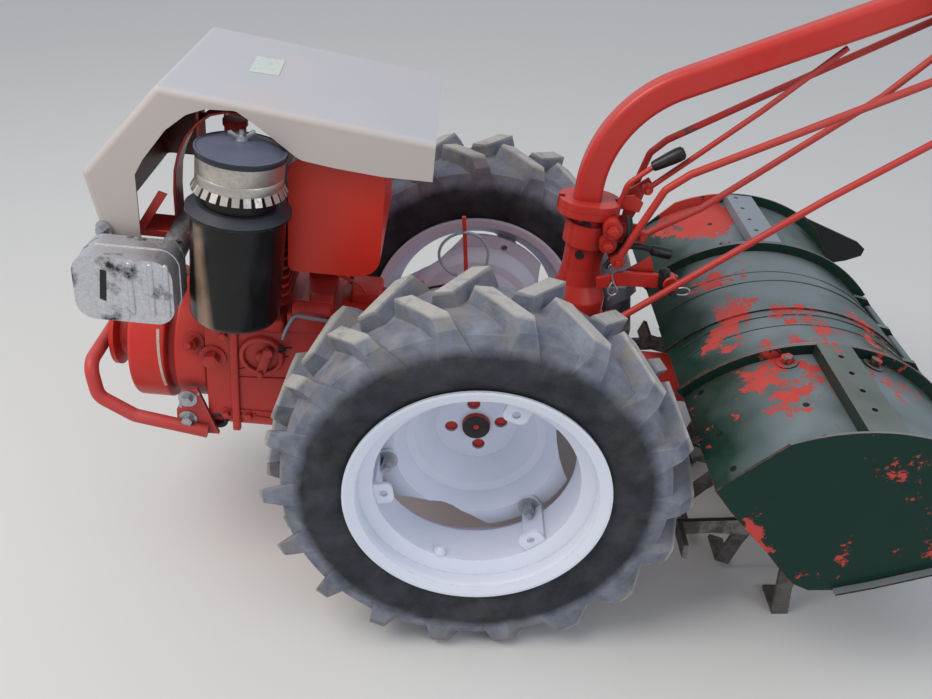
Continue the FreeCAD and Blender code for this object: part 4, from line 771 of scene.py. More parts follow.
# %% Turned forms, plates and wires
def turned_form(profile, centre, axis, steps=48, form=None):
    """A form of revolution from a profile of (radius, distance along the axis), closed at both ends."""
    form = form or bmesh.new()
    turn = Vector((0, 0, 1)).rotation_difference(Vector(axis).normalized()).to_matrix()
    rings = []
    for radius, along in profile:
        angles = [2 * math.pi * step / steps for step in range(steps)]
        spots = [Vector((radius * math.cos(a), radius * math.sin(a), along)) for a in angles]
        rings.append([form.verts.new(Vector(centre) + turn @ spot) for spot in spots])
    for low, high in zip(rings, rings[1:]):
        for step in range(steps):
            after = (step + 1) % steps
            form.faces.new((low[step], low[after], high[after], high[step]))
    form.faces.new(rings[0])
    form.faces.new(rings[-1])
    return form


def plate_form(outline, right, left, rounding=0.6, form=None):
    """A plate square to the Y axis, from an outline of (fore and aft, height), with its edges eased."""
    form = form or bmesh.new()
    face = form.faces.new([form.verts.new((x, right, z)) for x, z in outline])
    pushed = bmesh.ops.extrude_face_region(form, geom=[face])["geom"]
    corners = [item for item in pushed if isinstance(item, bmesh.types.BMVert)]
    bmesh.ops.translate(form, verts=corners, vec=(0, left - right, 0))
    if rounding:
        edges = {edge for corner in corners for edge in corner.link_edges} | set(face.edges)
        bmesh.ops.bevel(form, geom=list(edges), offset=rounding, segments=2, affect="EDGES", profile=0.5)
    return form


def bent_wire(name, points, radius, closed=False, order=3):
    """A round wire that follows points in millimetres in smooth bends, with closed ends."""
    curve = bpy.data.curves.new(name, "CURVE")
    curve.dimensions = "3D"
    curve.bevel_depth = radius * MM
    curve.bevel_resolution = 3
    curve.resolution_u = 6
    curve.use_fill_caps = True
    spline = curve.splines.new("NURBS")
    spline.points.add(len(points) - 1)
    for point, spot in zip(spline.points, points):
        point.co = (*level_spot(*spot), 1)
    spline.order_u = order
    spline.use_endpoint_u = not closed
    spline.use_cyclic_u = closed
    drawn = bpy.data.objects.new(name, curve)
    bpy.context.scene.collection.objects.link(drawn)
    graph = bpy.context.evaluated_depsgraph_get()
    mesh = bpy.data.meshes.new_from_object(drawn.evaluated_get(graph))
    bpy.data.objects.remove(drawn)
    mesh.name = name
    return mesh


# %% [markdown]
# ## Screws
#
# The machine is held together by plain hexagon screws with washers. All of them have the same shape in other sizes, so
# Geometry Nodes set one screw on every spot of a list. Each spot carries the way that its head faces and the width of
# its head, which the tree reads as attributes.

# %% The tree that sets screws
def screw_tree():
    tree = bpy.data.node_groups.new("hexagon_screws", "GeometryNodeTree")
    tree.interface.new_socket("Geometry", in_out="INPUT", socket_type="NodeSocketGeometry")
    sizes = (
        ("Head height", 0.62),
        ("Washer radius", 0.98),
        ("Washer height", 0.13),
        ("Stud radius", 0.46),
        ("Stud height", 0.06),
    )
    for name, value in sizes:
        tree.interface.new_socket(name, in_out="INPUT", socket_type="NodeSocketFloat").default_value = value
    tree.interface.new_socket("Finish", in_out="INPUT", socket_type="NodeSocketMaterial")
    tree.interface.new_socket("Geometry", in_out="OUTPUT", socket_type="NodeSocketGeometry")
    given = tree.nodes.new("NodeGroupInput").outputs
    corner_radius = 0.577
    washer = add_node(
        tree,
        "GeometryNodeMeshCylinder",
        {"Vertices": 20, "Radius": given["Washer radius"], "Depth": given["Washer height"]},
    )
    head = add_node(
        tree, "GeometryNodeMeshCylinder", {"Vertices": 6, "Radius": corner_radius, "Depth": given["Head height"]}
    )
    stud = add_node(
        tree,
        "GeometryNodeMeshCone",
        {"Vertices": 16, "Radius Top": 0.3, "Radius Bottom": given["Stud radius"], "Depth": given["Stud height"]},
    )
    half_washer = add_node(tree, "ShaderNodeMath", {0: given["Washer height"], 1: 0.5}, operation="MULTIPLY")
    half_head = add_node(
        tree, "ShaderNodeMath", {0: given["Head height"], 1: 0.5, 2: given["Washer height"]}, operation="MULTIPLY_ADD"
    )
    head_top = add_node(tree, "ShaderNodeMath", {0: given["Head height"], 1: given["Washer height"]}, operation="ADD")
    raised = []
    for part, height in ((washer, half_washer), (head, half_head), (stud, head_top)):
        offset = add_node(tree, "ShaderNodeCombineXYZ", {"Z": height})
        raised.append(add_node(tree, "GeometryNodeTransform", {"Geometry": part, "Translation": offset}))
    screw = add_node(tree, "GeometryNodeJoinGeometry", {0: raised})
    facing = add_node(tree, "GeometryNodeInputNamedAttribute", {"Name": "facing"}, data_type="FLOAT_VECTOR")
    width = add_node(tree, "GeometryNodeInputNamedAttribute", {"Name": "width"}, data_type="FLOAT")
    aimed = add_node(tree, "FunctionNodeAlignRotationToVector", {"Vector": facing}, axis="Z")
    placed = add_node(
        tree,
        "GeometryNodeInstanceOnPoints",
        {"Points": given["Geometry"], "Instance": screw, "Rotation": aimed, "Scale": width},
    )
    solid = add_node(tree, "GeometryNodeRealizeInstances", {0: placed})
    finished = add_node(tree, "GeometryNodeSetMaterial", {"Geometry": solid, "Material": given["Finish"]})
    end = tree.nodes.new("NodeGroupOutput")
    tree.links.new(finished, end.inputs[0])
    return tree


HEXAGON_SCREWS = screw_tree()


# %% Setting screws
def set_screws(name, rows, finish, body="chassis", slot="bare_steel", **sizes):
    """One mesh of screws. Each row: solid, spot that a ray starts from, way of the ray, width over the flats."""
    found = [(feel(node, start, way), width) for node, start, way, width in rows]
    spots = bpy.data.meshes.new(name)
    spots.from_pydata([place for (place, _), _ in found], [], [])
    facing = spots.attributes.new("facing", "FLOAT_VECTOR", "POINT")
    facing.data.foreach_set("vector", [value for (_, normal), _ in found for value in normal])
    widths = spots.attributes.new("width", "FLOAT", "POINT")
    widths.data.foreach_set("value", [width * MM for _, width in found])
    holder = bpy.data.objects.new(name, spots)
    bpy.context.scene.collection.objects.link(holder)
    modifier = holder.modifiers.new("screws", "NODES")
    modifier.node_group = HEXAGON_SCREWS
    given = {"Finish": finish, **sizes}
    for socket in HEXAGON_SCREWS.interface.items_tree:
        key = socket.name.replace(" ", "_")
        if socket.in_out == "INPUT" and key in given:
            modifier[socket.identifier] = given[key]
    graph = bpy.context.evaluated_depsgraph_get()
    mesh = bpy.data.meshes.new_from_object(holder.evaluated_get(graph))
    bpy.data.objects.remove(holder)
    return keep_piece(name, mesh, finish, body)


# %% Screws of the frame and the engine
FROM_LEFT = (0, -1, 0)
FROM_RIGHT = (0, 1, 0)
FROM_ABOVE = (0, 0, -1)
FROM_REAR = (1, 0, 0)
FROM_FRONT = (-1, 0, 0)


def both_sides(rows):
    """The same screws on the left side and, mirrored, on the right side."""
    mirrored = [(node, (x, -y, z), FROM_RIGHT, width) for node, (x, y, z), _, width in rows]
    return rows + mirrored


set_screws(
    "bumper_screws",
    both_sides([("bumper", (503, 200, -34), FROM_LEFT, 17), ("bumper", (505, 200, -78), FROM_LEFT, 17)]),
    zinc_steel,
)
set_screws(
    "clamp_screws",
    [(None, (-188, 57, 333), FROM_LEFT, 17), (None, (-185, 55, 305), FROM_LEFT, 15), ("column", (-170, -200, 280), FROM_RIGHT, 14)],
    red_enamel,
    slot="red_paint",
)
CRANKCASE_SCREWS = [
    ("crankcase", (438, 300, -66), FROM_LEFT, 12),
    ("crankcase", (399, 300, -66), FROM_LEFT, 12),
    ("crankcase", (438, 300, 98), FROM_LEFT, 12),
    ("crankcase", (300, 300, 20), FROM_LEFT, 12),
    ("crankcase", (300, 300, -60), FROM_LEFT, 12),
]
set_screws(
    "engine_screws",
    both_sides(CRANKCASE_SCREWS)
    + [
        ("crankcase", (350, 95, 260), FROM_ABOVE, 13),
        ("crankcase", (396, 95, 260), FROM_ABOVE, 13),
        ("crankcase", (458, 300, 52), FROM_LEFT, 24),
    ],
    red_casting,
    slot="red_casting",
)
set_screws(
    "fan_screw", [("fan_housing", (492, 300, 72), FROM_LEFT, 19)], red_enamel, Head_height=1.5, Stud_height=0.6
)

# %% [markdown]
# ## Nuts, hubs and valves of the wheels
#
# Three nuts hold each disc to the brackets of its rim. The ends of their studs were dipped in white paint. The end of
# the axle shows as a dark iron disc with a small centre hole, and the tyre's valve stands up from the well of the rim
# towards the axle. The wheels are alike, so each wheel's pieces come from the same places, mirrored for the right one.

# %% Pieces of both wheels
LUG_SPOTS = [(-43.4, 141.8), (144.5, -33.4), (-101.1, -108.5)]
LUG_FACE = 242.3
VALVE_SPOT = (45, -157)
VALVE_SIDE = 318

for side, ray in ((1, FROM_LEFT), (-1, FROM_RIGHT)):
    wheel = "wheel_left" if side > 0 else "wheel_right"
    hub = "wheel_hub_left" if side > 0 else "wheel_hub_right"
    lug_rows = [(None, (x, side * LUG_FACE, z), ray, 18) for x, z in LUG_SPOTS]
    set_screws(wheel + "_nuts", lug_rows, zinc_steel, wheel, Stud_height=0.55, Head_height=0.85, Stud_radius=0.32)

    hub_low, hub_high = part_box(hub)
    hub_face = hub_high.y / MM if side > 0 else hub_low.y / MM
    axle_end = [(23, -3), (23, 1.2), (21.5, 2.4), (7.5, 2.4), (6.2, 1.6), (3.2, -2.2), (0.4, -2.4)]
    end_form = turned_form(axle_end, (0, hub_face, 0), (0, side, 0))
    keep_piece(wheel + "_axle_end", park_form(wheel + "_axle_end", end_form, True), dark_iron, wheel)

    x, z = VALVE_SPOT
    boss = turned_form([(11, -8), (11, 3), (9.5, 5), (7, 6), (6, 9), (4.5, 10.5), (0.5, 11)], (x, side * VALVE_SIDE, z), (-x, 0, -z), 28)
    keep_piece(wheel + "_valve", park_form(wheel + "_valve", boss, True), rim_enamel, wheel)

# %% [markdown]
# ## Castings of the engine
#
# The crankcase is cast in two halves that meet at a seam flange. A round governor cover with a raised rim stands on its
# side, with blocks for the oil filler and the tappets above it. They are cast iron under the same red enamel as the
# rest, so they are one piece with eased edges, each part of it sunk a little into the solid that carries it.

# %% Seam flange and governor cover
CASE_SIDE = 112
SEAM = (414, 428)


def box_form(low, high, rounding, form=None):
    """A block between two corners in millimetres, with eased edges."""
    form = form or bmesh.new()
    made = bmesh.ops.create_cube(form, size=1)["verts"]
    size = [b - a for a, b in zip(low, high)]
    middle = [(a + b) / 2 for a, b in zip(low, high)]
    bmesh.ops.scale(form, vec=size, verts=made)
    bmesh.ops.translate(form, vec=middle, verts=made)
    edges = {edge for corner in made for edge in corner.link_edges}
    bmesh.ops.bevel(form, geom=list(edges), offset=rounding, segments=3, affect="EDGES", profile=0.5)
    return form


castings = bmesh.new()
for side in (1, -1):
    box_form((SEAM[0], side * CASE_SIDE - 6, -100), (SEAM[1], side * CASE_SIDE + 6, 118), 3, castings)
governor = [(38, -2), (38, 6), (36.5, 8.5), (34, 9.5), (31, 9.5), (29.5, 8), (29, 3.5), (11, 3.2), (9.5, 5), (9, 11), (7.5, 12.5), (0.5, 12.8)]
turned_form(governor, (374, CASE_SIDE, 66), (0, 1, 0), 48, castings)
for low, high, rounding in (
    ((262, 74, 104), (334, 106, 148), 5),
    ((338, 84, 108), (410, 110, 134), 5),
    ((260, 60, 128), (300, 92, 168), 5),
    ((182, -34, 108), (236, 30, 160), 7),
    ((108, -56, 98), (150, -14, 150), 7),
):
    box_form(low, high, rounding, castings)
turned_form([(16, 0), (16, 60), (14, 63), (0.5, 63.4)], (262, 90, 150), (1, 0, 0), 32, castings)
rib_rows = ((-56, -56), (-71, -67), (66, 30), (20, 14))
for rear, front in rib_rows:
    rib = [(330, rear + 2), (414, front + 2), (414, front - 2), (330, rear - 2)]
    plate_form(rib, CASE_SIDE - 2, CASE_SIDE + 2.4, 1.0, castings)
keep_piece("engine_castings", park_form("engine_castings", castings, True), red_casting)

# %% Governor lever, drain port and wires
lever = plate_form([(352, 84), (361, 90), (369, 84), (383, 37), (376, 28), (368, 33)], CASE_SIDE + 13, CASE_SIDE + 17)
turned_form([(8, 0), (8, 7), (6.5, 8.5), (0.4, 8.8)], (360, CASE_SIDE + 11, 80), (0, 1, 0), 24, lever)
turned_form([(6, 0), (6, 9), (4.5, 10.5), (0.4, 10.8)], (375, CASE_SIDE + 12, 37), (0, 1, 0), 24, lever)
keep_piece("governor_lever", park_form("governor_lever", lever, True), red_enamel)
drain = turned_form([(16, -16), (16, 8), (14.5, 10), (9.5, 10), (8.5, 8), (8.2, -8), (0.4, -8.2)], (453, 104, -84), (0, 1, 0))
keep_piece("drain_port", park_form("drain_port", drain, True), dark_iron)
LEVER_WIRE = [(337, 122, 108), (334, 124, 122), (326, 124, 140), (318, 120, 156), (300, 116, 150), (250, 108, 141)]
keep_piece("governor_wire", bent_wire("governor_wire", LEVER_WIRE, 3.2), strap_steel)
KNOT_WIRE = [(344, 124, 92), (336, 130, 98), (330, 126, 88), (338, 120, 80), (346, 128, 84), (340, 134, 96), (322, 122, 92)]
keep_piece("governor_spring", bent_wire("governor_spring", KNOT_WIRE, 1.6), dark_iron)
THROTTLE_ROD = [(322, 60, 236), (300, 62, 226), (250, 64, 205), (214, 60, 190), (208, 60, 176)]
keep_piece("throttle_rod", bent_wire("throttle_rod", THROTTLE_ROD, 3), red_enamel)

# %% [markdown]
# ## Exhaust
#
# The muffler is two pressed shells with a rim between them. The outer shell has three upright beads, a dent and a slot
# where the gas comes out. The pipe runs from the head forward under the hood and then out to the muffler, in one bend.

# %% Muffler's rim, beads and slot
MUFFLER_FACE = 262
MUFFLER_BOX = (470, 612, 204, 308)


def rounded_outline(rear, front, low, high, radius, steps=8):
    """The corners of a rounded rectangle, as (fore and aft, height)."""
    corners = []
    for x, z, first in ((front, high, 0), (rear, high, 90), (rear, low, 180), (front, low, 270)):
        middle = (x - math.copysign(radius, x - (rear + front) / 2), z - math.copysign(radius, z - (low + high) / 2))
        for step in range(steps + 1):
            angle = math.radians(first + 90 * step / steps)
            corners.append((middle[0] + radius * math.cos(angle), middle[1] + radius * math.sin(angle)))
    return corners


rear, front, low, high = MUFFLER_BOX
relief = plate_form(rounded_outline(rear - 1.5, front + 1.5, low - 1.5, high + 1.5, 30), 221, 225, 1)
for place in (479, 501, 530):
    bead = [(0.4, -53), (4, -51), (5.5, -46), (5.5, 28), (4, 34), (0.4, 36)]
    turned_form(bead, (place, MUFFLER_FACE - 2.6, 268), (0, 0, 1), 20, relief)
keep_piece("muffler_relief", park_form("muffler_relief", relief, True), sooty_aluminium)
# a thin black plate paints the shade inside the slot where the gas comes out
slot_shadow_form = plate_form([(562, 286), (571, 288), (576, 240), (567, 236)], MUFFLER_FACE - 2, MUFFLER_FACE + 0.7, 0.3)
keep_piece("muffler_slot", park_form("muffler_slot", slot_shadow_form), knob_plastic)
PIPE_PATH = [(447.3, 26, 296), (476, 24, 297), (491, 30, 297), (491, 56, 295), (490, 120, 290), (490, 194, 285)]
PIPE_RADIUS = 20
pipe = bent_wire("exhaust_bend", PIPE_PATH, PIPE_RADIUS)
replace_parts(keep_piece("exhaust_bend", pipe, sooty_aluminium), "exhaust_pipe")

# %% [markdown]
# ## The air filter's cap
#
# The cap on the filter is a spun aluminium ring. Its foot is cut into tabs that are bent outwards, so that air is drawn
# in between them. A black pressed lid with a rolled rim closes it, held by a stud and a wing nut. The tabs repeat round
# the ring, so Geometry Nodes place them. The filter leans a little to the rear.

# %% The filter's axis
FILTER_LEAN = math.radians(3.5)
FILTER_FOOT = Vector((394, 180, 300))
FILTER_AXIS = Vector((-math.sin(FILTER_LEAN), 0, math.cos(FILTER_LEAN)))
CAP_RADIUS = 63
CAP_WALL = [(50, 106), (60, 106), (62, 108), (CAP_RADIUS, 111), (CAP_RADIUS, 122), (62, 123.5), (CAP_RADIUS, 125)]
CAP_WALL += [(CAP_RADIUS, 151), (60, 152), (0.5, 152)]
LID_RIM = [(0.5, 149), (63, 149), (65.4, 150), (66, 152), (66, 156), (65, 158.4), (62.6, 159), (61, 158), (58, 159)]
LID_CROWN = [(50, 162.5), (38, 166), (26, 168.4), (14, 169.6), (9, 170), (8, 170.8), (0.5, 171)]
NUT_PROFILE = [(9, 169), (9, 171), (7, 172), (6.4, 177), (3.6, 178), (3.4, 184.4), (0.4, 184.8)]
WING = [(5, 171), (9, 172), (15, 177), (19, 179), (19.4, 183), (15, 184.4), (10, 180), (5, 177)]

# %% Ring, lid and wing nut
ring = turned_form(
    CAP_WALL,
    FILTER_FOOT,
    FILTER_AXIS,
    72,
)
cap_ring = keep_piece("cap_ring", park_form("cap_ring", ring, True), cap_aluminium)
neck = turned_form([(40, 72), (54, 74), (54, 108), (40, 109)], FILTER_FOOT, FILTER_AXIS, 48)
keep_piece("cap_neck", park_form("cap_neck", neck, True), black_enamel)
lid = turned_form(LID_RIM + LID_CROWN, FILTER_FOOT, FILTER_AXIS, 72)
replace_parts(keep_piece("cap_lid", park_form("cap_lid", lid, True), lid_enamel), "filter_cap")

stud = turned_form(NUT_PROFILE, FILTER_FOOT, FILTER_AXIS, 20)
lean = Vector((0, 0, 1)).rotation_difference(FILTER_AXIS).to_matrix()
for way in (1, -1):
    wing_form = bmesh.new()
    plate_form([(way * x, z) for x, z in WING], -1.6, 1.6, 0.5, wing_form)
    bmesh.ops.rotate(wing_form, matrix=lean @ Matrix.Rotation(math.radians(25), 3, "Z"), verts=wing_form.verts)
    bmesh.ops.translate(wing_form, vec=FILTER_FOOT, verts=wing_form.verts)
    scrap = bpy.data.meshes.new("wing")
    wing_form.to_mesh(scrap)
    wing_form.free()
    stud.from_mesh(scrap)
    bpy.data.meshes.remove(scrap)
keep_piece("wing_nut", park_form("wing_nut", stud, True), zinc_steel)


# %% The tree that sets the tabs
def tab_tree():
    tree = bpy.data.node_groups.new("bent_tabs", "GeometryNodeTree")
    tree.interface.new_socket("Geometry", in_out="OUTPUT", socket_type="NodeSocketGeometry")
    tree.interface.new_socket("Count", in_out="INPUT", socket_type="NodeSocketInt").default_value = 26
    for name, value in (("Ring radius", 0.06), ("Tab width", 0.0105), ("Tab height", 0.017), ("Tab thickness", 0.0012)):
        tree.interface.new_socket(name, in_out="INPUT", socket_type="NodeSocketFloat").default_value = value
    tree.interface.new_socket("Flare", in_out="INPUT", socket_type="NodeSocketFloat").default_value = 0.5
    tree.interface.new_socket("Finish", in_out="INPUT", socket_type="NodeSocketMaterial")
    given = tree.nodes.new("NodeGroupInput").outputs
    ring = add_node(tree, "GeometryNodeMeshCircle", {"Vertices": given["Count"], "Radius": given["Ring radius"]})
    size = add_node(
        tree, "ShaderNodeCombineXYZ", {"X": given["Tab thickness"], "Y": given["Tab width"], "Z": given["Tab height"]}
    )
    tab = add_node(tree, "GeometryNodeMeshCube", {"Size": size, "Vertices Z": 4})
    half = add_node(tree, "ShaderNodeMath", {0: given["Tab height"], 1: -0.5}, operation="MULTIPLY")
    hang = add_node(tree, "ShaderNodeCombineXYZ", {"Z": half})
    hung = add_node(tree, "GeometryNodeTransform", {"Geometry": tab, "Translation": hang})
    minus_flare = add_node(tree, "ShaderNodeMath", {0: given["Flare"], 1: -1.0}, operation="MULTIPLY")
    turn = add_node(tree, "ShaderNodeCombineXYZ", {"Y": minus_flare})
    flared = add_node(tree, "GeometryNodeTransform", {"Geometry": hung, "Rotation": turn})
    outward = add_node(tree, "GeometryNodeInputPosition")
    aimed = add_node(tree, "FunctionNodeAlignRotationToVector", {"Vector": outward}, axis="X")
    placed = add_node(tree, "GeometryNodeInstanceOnPoints", {"Points": ring, "Instance": flared, "Rotation": aimed})
    solid = add_node(tree, "GeometryNodeRealizeInstances", {0: placed})
    finished = add_node(tree, "GeometryNodeSetMaterial", {"Geometry": solid, "Material": given["Finish"]})
    end = tree.nodes.new("NodeGroupOutput")
    tree.links.new(finished, end.inputs[0])
    return tree


# %% The tabs
BENT_TABS = tab_tree()
holder_mesh = bpy.data.meshes.new("cap_tabs")
holder = bpy.data.objects.new("cap_tabs", holder_mesh)
bpy.context.scene.collection.objects.link(holder)
modifier = holder.modifiers.new("tabs", "NODES")
modifier.node_group = BENT_TABS
for socket in BENT_TABS.interface.items_tree:
    if socket.name == "Finish":
        modifier[socket.identifier] = cap_aluminium
tabs = bpy.data.meshes.new_from_object(holder.evaluated_get(bpy.context.evaluated_depsgraph_get()))
bpy.data.objects.remove(holder)
tab_place = Matrix.Translation((FILTER_FOOT + FILTER_AXIS * 112) * MM) @ lean.to_4x4()
tabs.transform(parked @ tab_place)
keep_piece("cap_tabs", tabs, cap_aluminium)

# %% [markdown]
# ## Under the hood
#
# A filler neck with its cap shows through the hood's opening, and a flat rail with a foot holds the hood's front corner.
# A blank plate is stuck on the hood's top. It is bent to the sheet by dropping each of its points onto the hood.

# %% Neck, rail and hood screw
neck = turned_form([(15, -20), (15, 12), (17, 14), (17, 26), (20, 27.5), (20, 36), (18.5, 38), (0.5, 38.6)], (432, 0, 398), (0, 0, 1), 36)
keep_piece("filler_neck", park_form("filler_neck", neck, True), red_enamel)
rail = plate_form([(502, 362), (515, 366), (553, 303), (542, 297)], 147, 151, 0.8)
box_form((452, 92, 290), (548, 151, 302), 2, rail)
keep_piece("hood_rail", park_form("hood_rail", rail), red_enamel)


def strap_form(points, right, left, thick, form=None):
    """A bent flat strap from points of (fore and aft, height), as wide as from right to left."""
    inner = []
    for before, spot, after in zip([points[0]] + points[:-1], points, points[1:] + [points[-1]]):
        way = Vector((after[0] - before[0], after[1] - before[1])).normalized()
        inner.append((spot[0] + way.y * thick, spot[1] - way.x * thick))
    return plate_form(points + inner[::-1], right, left, 0.8, form)


ARCH = [(505, 296), (505, 350), (502, 385), (495, 412), (482, 440), (465, 462), (444, 478), (420, 485), (395, 482), (368, 470)]
keep_piece("hood_arch", park_form("hood_arch", strap_form(ARCH, 70, 112, -4)), red_enamel)
set_screws("hood_screw", [("hood", (592, 300, 306), FROM_LEFT, 15)], zinc_steel)


# %% A thin patch laid on a solid
def laid_patch(name, node, corners, way, finish, thick=0.5, steps=(10, 8)):
    """A thin sheet whose points are dropped from four corner spots along a way onto a solid."""
    first, second, third, fourth = (Vector(corner) for corner in corners)
    form = bmesh.new()
    grid = []
    for across in range(steps[0] + 1):
        u = across / steps[0]
        row = []
        for along in range(steps[1] + 1):
            spot = first.lerp(second, u).lerp(fourth.lerp(third, u), along / steps[1])
            place, facing = feel(node, spot, way)
            row.append(form.verts.new(place + facing * thick * MM))
        grid.append(row)
    for rows in zip(grid, grid[1:]):
        for along in range(steps[1]):
            form.faces.new((rows[0][along], rows[0][along + 1], rows[1][along + 1], rows[1][along]))
    bmesh.ops.recalc_face_normals(form, faces=form.faces)
    bmesh.ops.solidify(form, geom=form.faces[:], thickness=thick * 0.8 * MM)
    bmesh.ops.recalc_face_normals(form, faces=form.faces)
    mesh = bpy.data.meshes.new(name)
    form.to_mesh(mesh)
    form.free()
    return keep_piece(name, mesh, finish)


# %% Blank label
LABEL = [(403, 30, 700), (359, 22, 700), (363, -60, 700), (406, -52, 700)]
label_film = moulded_plastic("pale_label_film", "#C3CCC6", "#A9B0AC", 0.45)
laid_patch("blank_label", "hood", LABEL, FROM_ABOVE, label_film, 0.7)

# %% A long scratch on the fan housing
# The scratch goes down to the pale filler under the enamel, so it is a thin pale strip laid on the casting.
SCRATCH = [(548, 300, 92), (553, 300, 92), (544, 300, -17), (540, 300, -17)]
filler = moulded_plastic("pale_filler", "#CBB9A8", "#B79A86", 0.6)
laid_patch("fan_scratch", "fan_housing", SCRATCH, FROM_LEFT, filler, 0.5, steps=(2, 24))

# %% [markdown]
# ## Levers at the column
#
# Small levers, clips and pins crowd behind the column. The shift levers end in black grips, a spring clip hangs from the
# bracket and another holds the pin of the lowest rod. Each rod is a round wire on the points where it bends.


# %% Grips and knobs
def grip_between(name, start, end, profile, finish=knob_plastic):
    """A turned grip from a start to an end. The profile gives (radius, share of the length)."""
    axis = Vector(end) - Vector(start)
    form = turned_form([(radius, share * axis.length) for radius, share in profile], start, axis, 28)
    return keep_piece(name, park_form(name, form, True), finish)


LONG_GRIP = [(6, 0), (8, 0.02), (9, 0.1), (11.5, 0.6), (12, 0.8), (11, 0.93), (7, 0.99), (0.4, 1)]
SHORT_KNOB = [(7, 0), (9, 0.06), (9.5, 0.2), (9.5, 0.9), (8.5, 0.98), (0.4, 1)]
grip_between("long_grip", (-240, 10, 430), (-287, 10, 461), LONG_GRIP)
grip_between("side_knob", (-262, 40, 297.5), (-297, 40, 293), SHORT_KNOB)
grip_between("upright_knob", (-291, 60, 238), (-287.5, 60, 274), SHORT_KNOB)

# %% Lever rods
LEVER_RODS = [
    # name, radius, finish, slot, points
    ("grip_rod", 4.5, red_enamel, "red_paint", [(-244, 10, 432), (-214, 10, 405), (-205, 10, 393), (-204, 8, 372), (-196, 6, 352)]),
    ("knob_rod", 5.0, dark_iron, "bare_steel", [(-268, 40, 298), (-245, 40, 302), (-226, 40, 300), (-205, 34, 296), (-188, 28, 292)]),
    ("latch_rod", 5.5, dark_iron, "bare_steel", [(-190, 48, 262), (-206, 50, 292), (-224, 48, 325), (-214, 30, 350)]),
    ("gear_rod", 3.6, red_enamel, "red_paint", [(56.3, 60, 333), (44, 60, 248), (38, 56, 190), (36, 40, 150)]),
]
for name, radius, finish, slot, points in LEVER_RODS:
    keep_piece(name, bent_wire(name, points, radius), finish)

RING_MIDDLE = (50, 63, 266)
RING_RADIUS = 40
ring_points = []
for step in range(12):
    angle = math.radians(30 * step)
    spot = (RING_MIDDLE[0] + 42 * math.cos(angle), 63 + 4 * math.sin(2 * angle), 266 + 42 * math.sin(angle))
    ring_points.append(spot)
keep_piece("wire_ring", bent_wire("wire_ring", ring_points, 2.4, closed=True), strap_steel)
RING_TAIL = [(34, 62, 228), (60, 60, 210), (84, 50, 196), (104, 30, 180), (120, 10, 150)]
keep_piece("ring_tail", bent_wire("ring_tail", RING_TAIL, 2.2), dark_iron)

# %% Plates and block behind the column
latch = plate_form([(-222, 256), (-262, 289), (-274, 263), (-262, 250)], 44, 50, 1.0)
plate_form([(-176, 246), (-219, 262), (-312, 264), (-316, 250), (-300, 238), (-222, 236), (-180, 226)], 54, 62, 1.5, latch)
turned_form([(13, 0), (13, 20), (11, 22), (0.5, 22.4)], (-300, 50, 252), (0, 1, 0), 28, latch)
plate_form([(-196, 352), (-236, 348), (-240, 366), (-222, 378), (-200, 372)], 4, 9, 1.0, latch)
for x, z, radius, reach in ((-188, 333, 15, 50), (-185, 305, 13, 48)):
    turned_form([(radius - 2, 0), (radius, 2), (radius, reach - 2), (radius - 2, reach)], (x, 7, z), (0, 1, 0), 32, latch)
keep_piece("latch_plates", park_form("latch_plates", latch), red_enamel)

# %% Spring clips
CLIP_ONE = [(-196, 62, 262), (-190, 64, 272), (-200, 66, 278), (-208, 64, 268), (-200, 62, 256), (-206, 64, 240), (-218, 66, 226), (-212, 64, 218)]
CLIP_TWO = [(-298, 66, 238), (-310, 72, 234), (-328, 78, 238), (-334, 78, 246), (-326, 76, 252), (-312, 72, 246), (-298, 66, 242)]
CLIP_THREE = [(-206, 62, 244), (-196, 66, 230), (-204, 66, 216), (-216, 64, 222), (-214, 62, 236), (-204, 60, 206)]
for name, points in (("bracket_clip", CLIP_ONE), ("rod_clip", CLIP_TWO), ("bracket_wire", CLIP_THREE)):
    keep_piece(name, bent_wire(name, points, 1.7), zinc_steel)
pin = turned_form([(6, 0), (6, 44), (5, 46), (0.4, 46.4)], (-302, 48, 240), (0, 1, 0.1), 20)
keep_piece("rod_pin", park_form("rod_pin", pin, True), dark_iron)

# %% Painted shade in the round recesses of the column
# thin dark discs paint the shade inside two round recesses of the column
set_screws(
    "column_recesses",
    [("column", (-147, 200, 326), FROM_LEFT, 13), ("column", (-146, 200, 271), FROM_LEFT, 13)],
    dark_iron,
    slot="bare_steel",
    Head_height=0.02,
    Washer_height=0.05,
    Washer_radius=0.62,
    Stud_height=0.01,
)

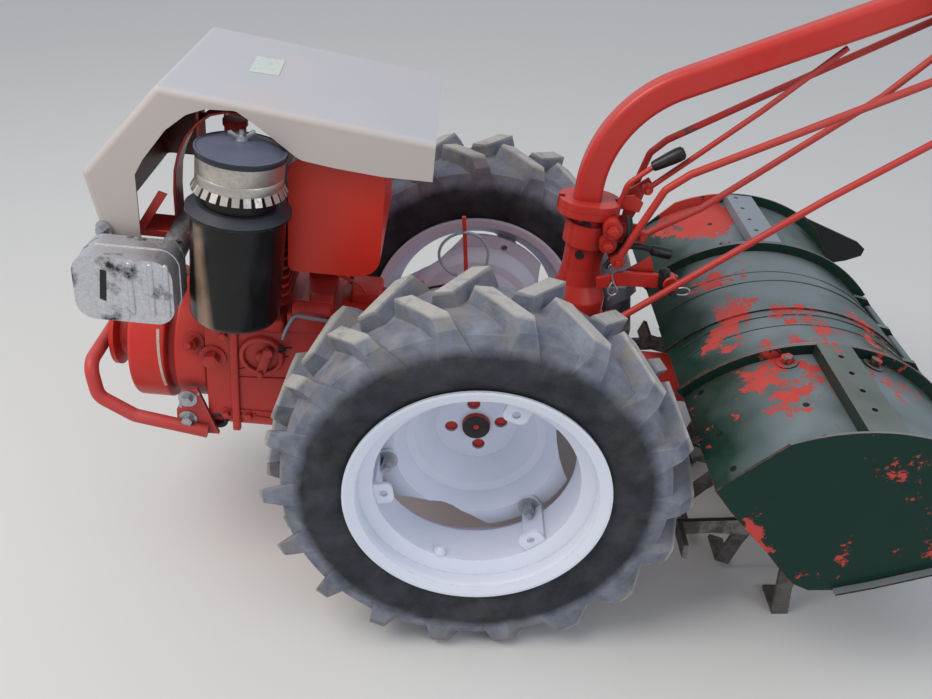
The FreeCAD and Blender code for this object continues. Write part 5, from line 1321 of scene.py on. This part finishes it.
# %% [markdown]
# ## Screws, holes and beads of the tiller's covers
#
# The covers are rolled round the rotor, so a spot on them is given by its distance from the middle of the machine and
# by its angle round the rotor. Rays towards the rotor's axis find the sheet. Some holes have screws and some stay open,
# and an open hole in thin sheet shows the shade behind it as a black round, which a thin black disc paints here as
# painted shade.

# %% Screws and open holes
ROTOR_AXIS = (-556, -66)
OUTSIDE = 340


def cover_row(node, y, degrees, width):
    """A row for set_screws: a ray from outside the cover to the rotor's axis."""
    angle = math.radians(degrees)
    way = (-math.sin(angle), 0, -math.cos(angle))
    start = (ROTOR_AXIS[0] - OUTSIDE * way[0], y, ROTOR_AXIS[1] - OUTSIDE * way[2])
    return node, start, way, width


set_screws(
    "cover_screws",
    [
        cover_row("cover_left", 206, 17, 17),
        cover_row("cover_left", 200, -12, 17),
        cover_row("cover_right", -206, 17, 17),
        cover_row("cover_right", -200, -12, 17),
    ],
    tiller_enamel,
    slot="green_paint",
)
# thin black discs paint the shade seen through the open holes
HOLES = ((202, 46), (313, 45), (317, 18), (395, 17.5), (396, 45), (303, -8))
set_screws(
    "cover_holes",
    [cover_row("cover_left", y, degrees, 9) for y, degrees in HOLES[:5]]
    + [cover_row("cover_right", -y, degrees, 9) for y, degrees in HOLES],
    knob_plastic,
    slot="black_paint",
    Head_height=0.03,
    Washer_height=0.05,
    Washer_radius=0.55,
    Stud_height=0.01,
)


# %% [markdown]
# ## Pressed beads
#
# A pair of beads runs round the middle cover and stiffens it. They follow the sheet, so each point of a bead is found
# by a ray to the rotor's axis, and a half round section is swept through the points.

# %% Beads of the middle cover
def swept_bead(name, y, first, last, radius, node, finish):
    angles = [first + (last - first) * step / 40 for step in range(41)]
    points = []
    for degrees in angles:
        _, start, way, _ = cover_row(node, y, degrees, 0)
        place, facing = feel(node, start, way)
        points.append(to_level @ (place - facing * radius * 0.45 * MM) / MM)
    return keep_piece(name, bent_wire(name, [tuple(point) for point in points], radius), finish)


for side in (1, -1):
    label = "left" if side > 0 else "right"
    swept_bead(f"middle_bead_{label}", side * 62, -42, 46, 4.0, "cover_middle", tiller_enamel)
    swept_bead(f"middle_step_{label}", side * 96, -42, 46, 3.0, "cover_middle", tiller_enamel)
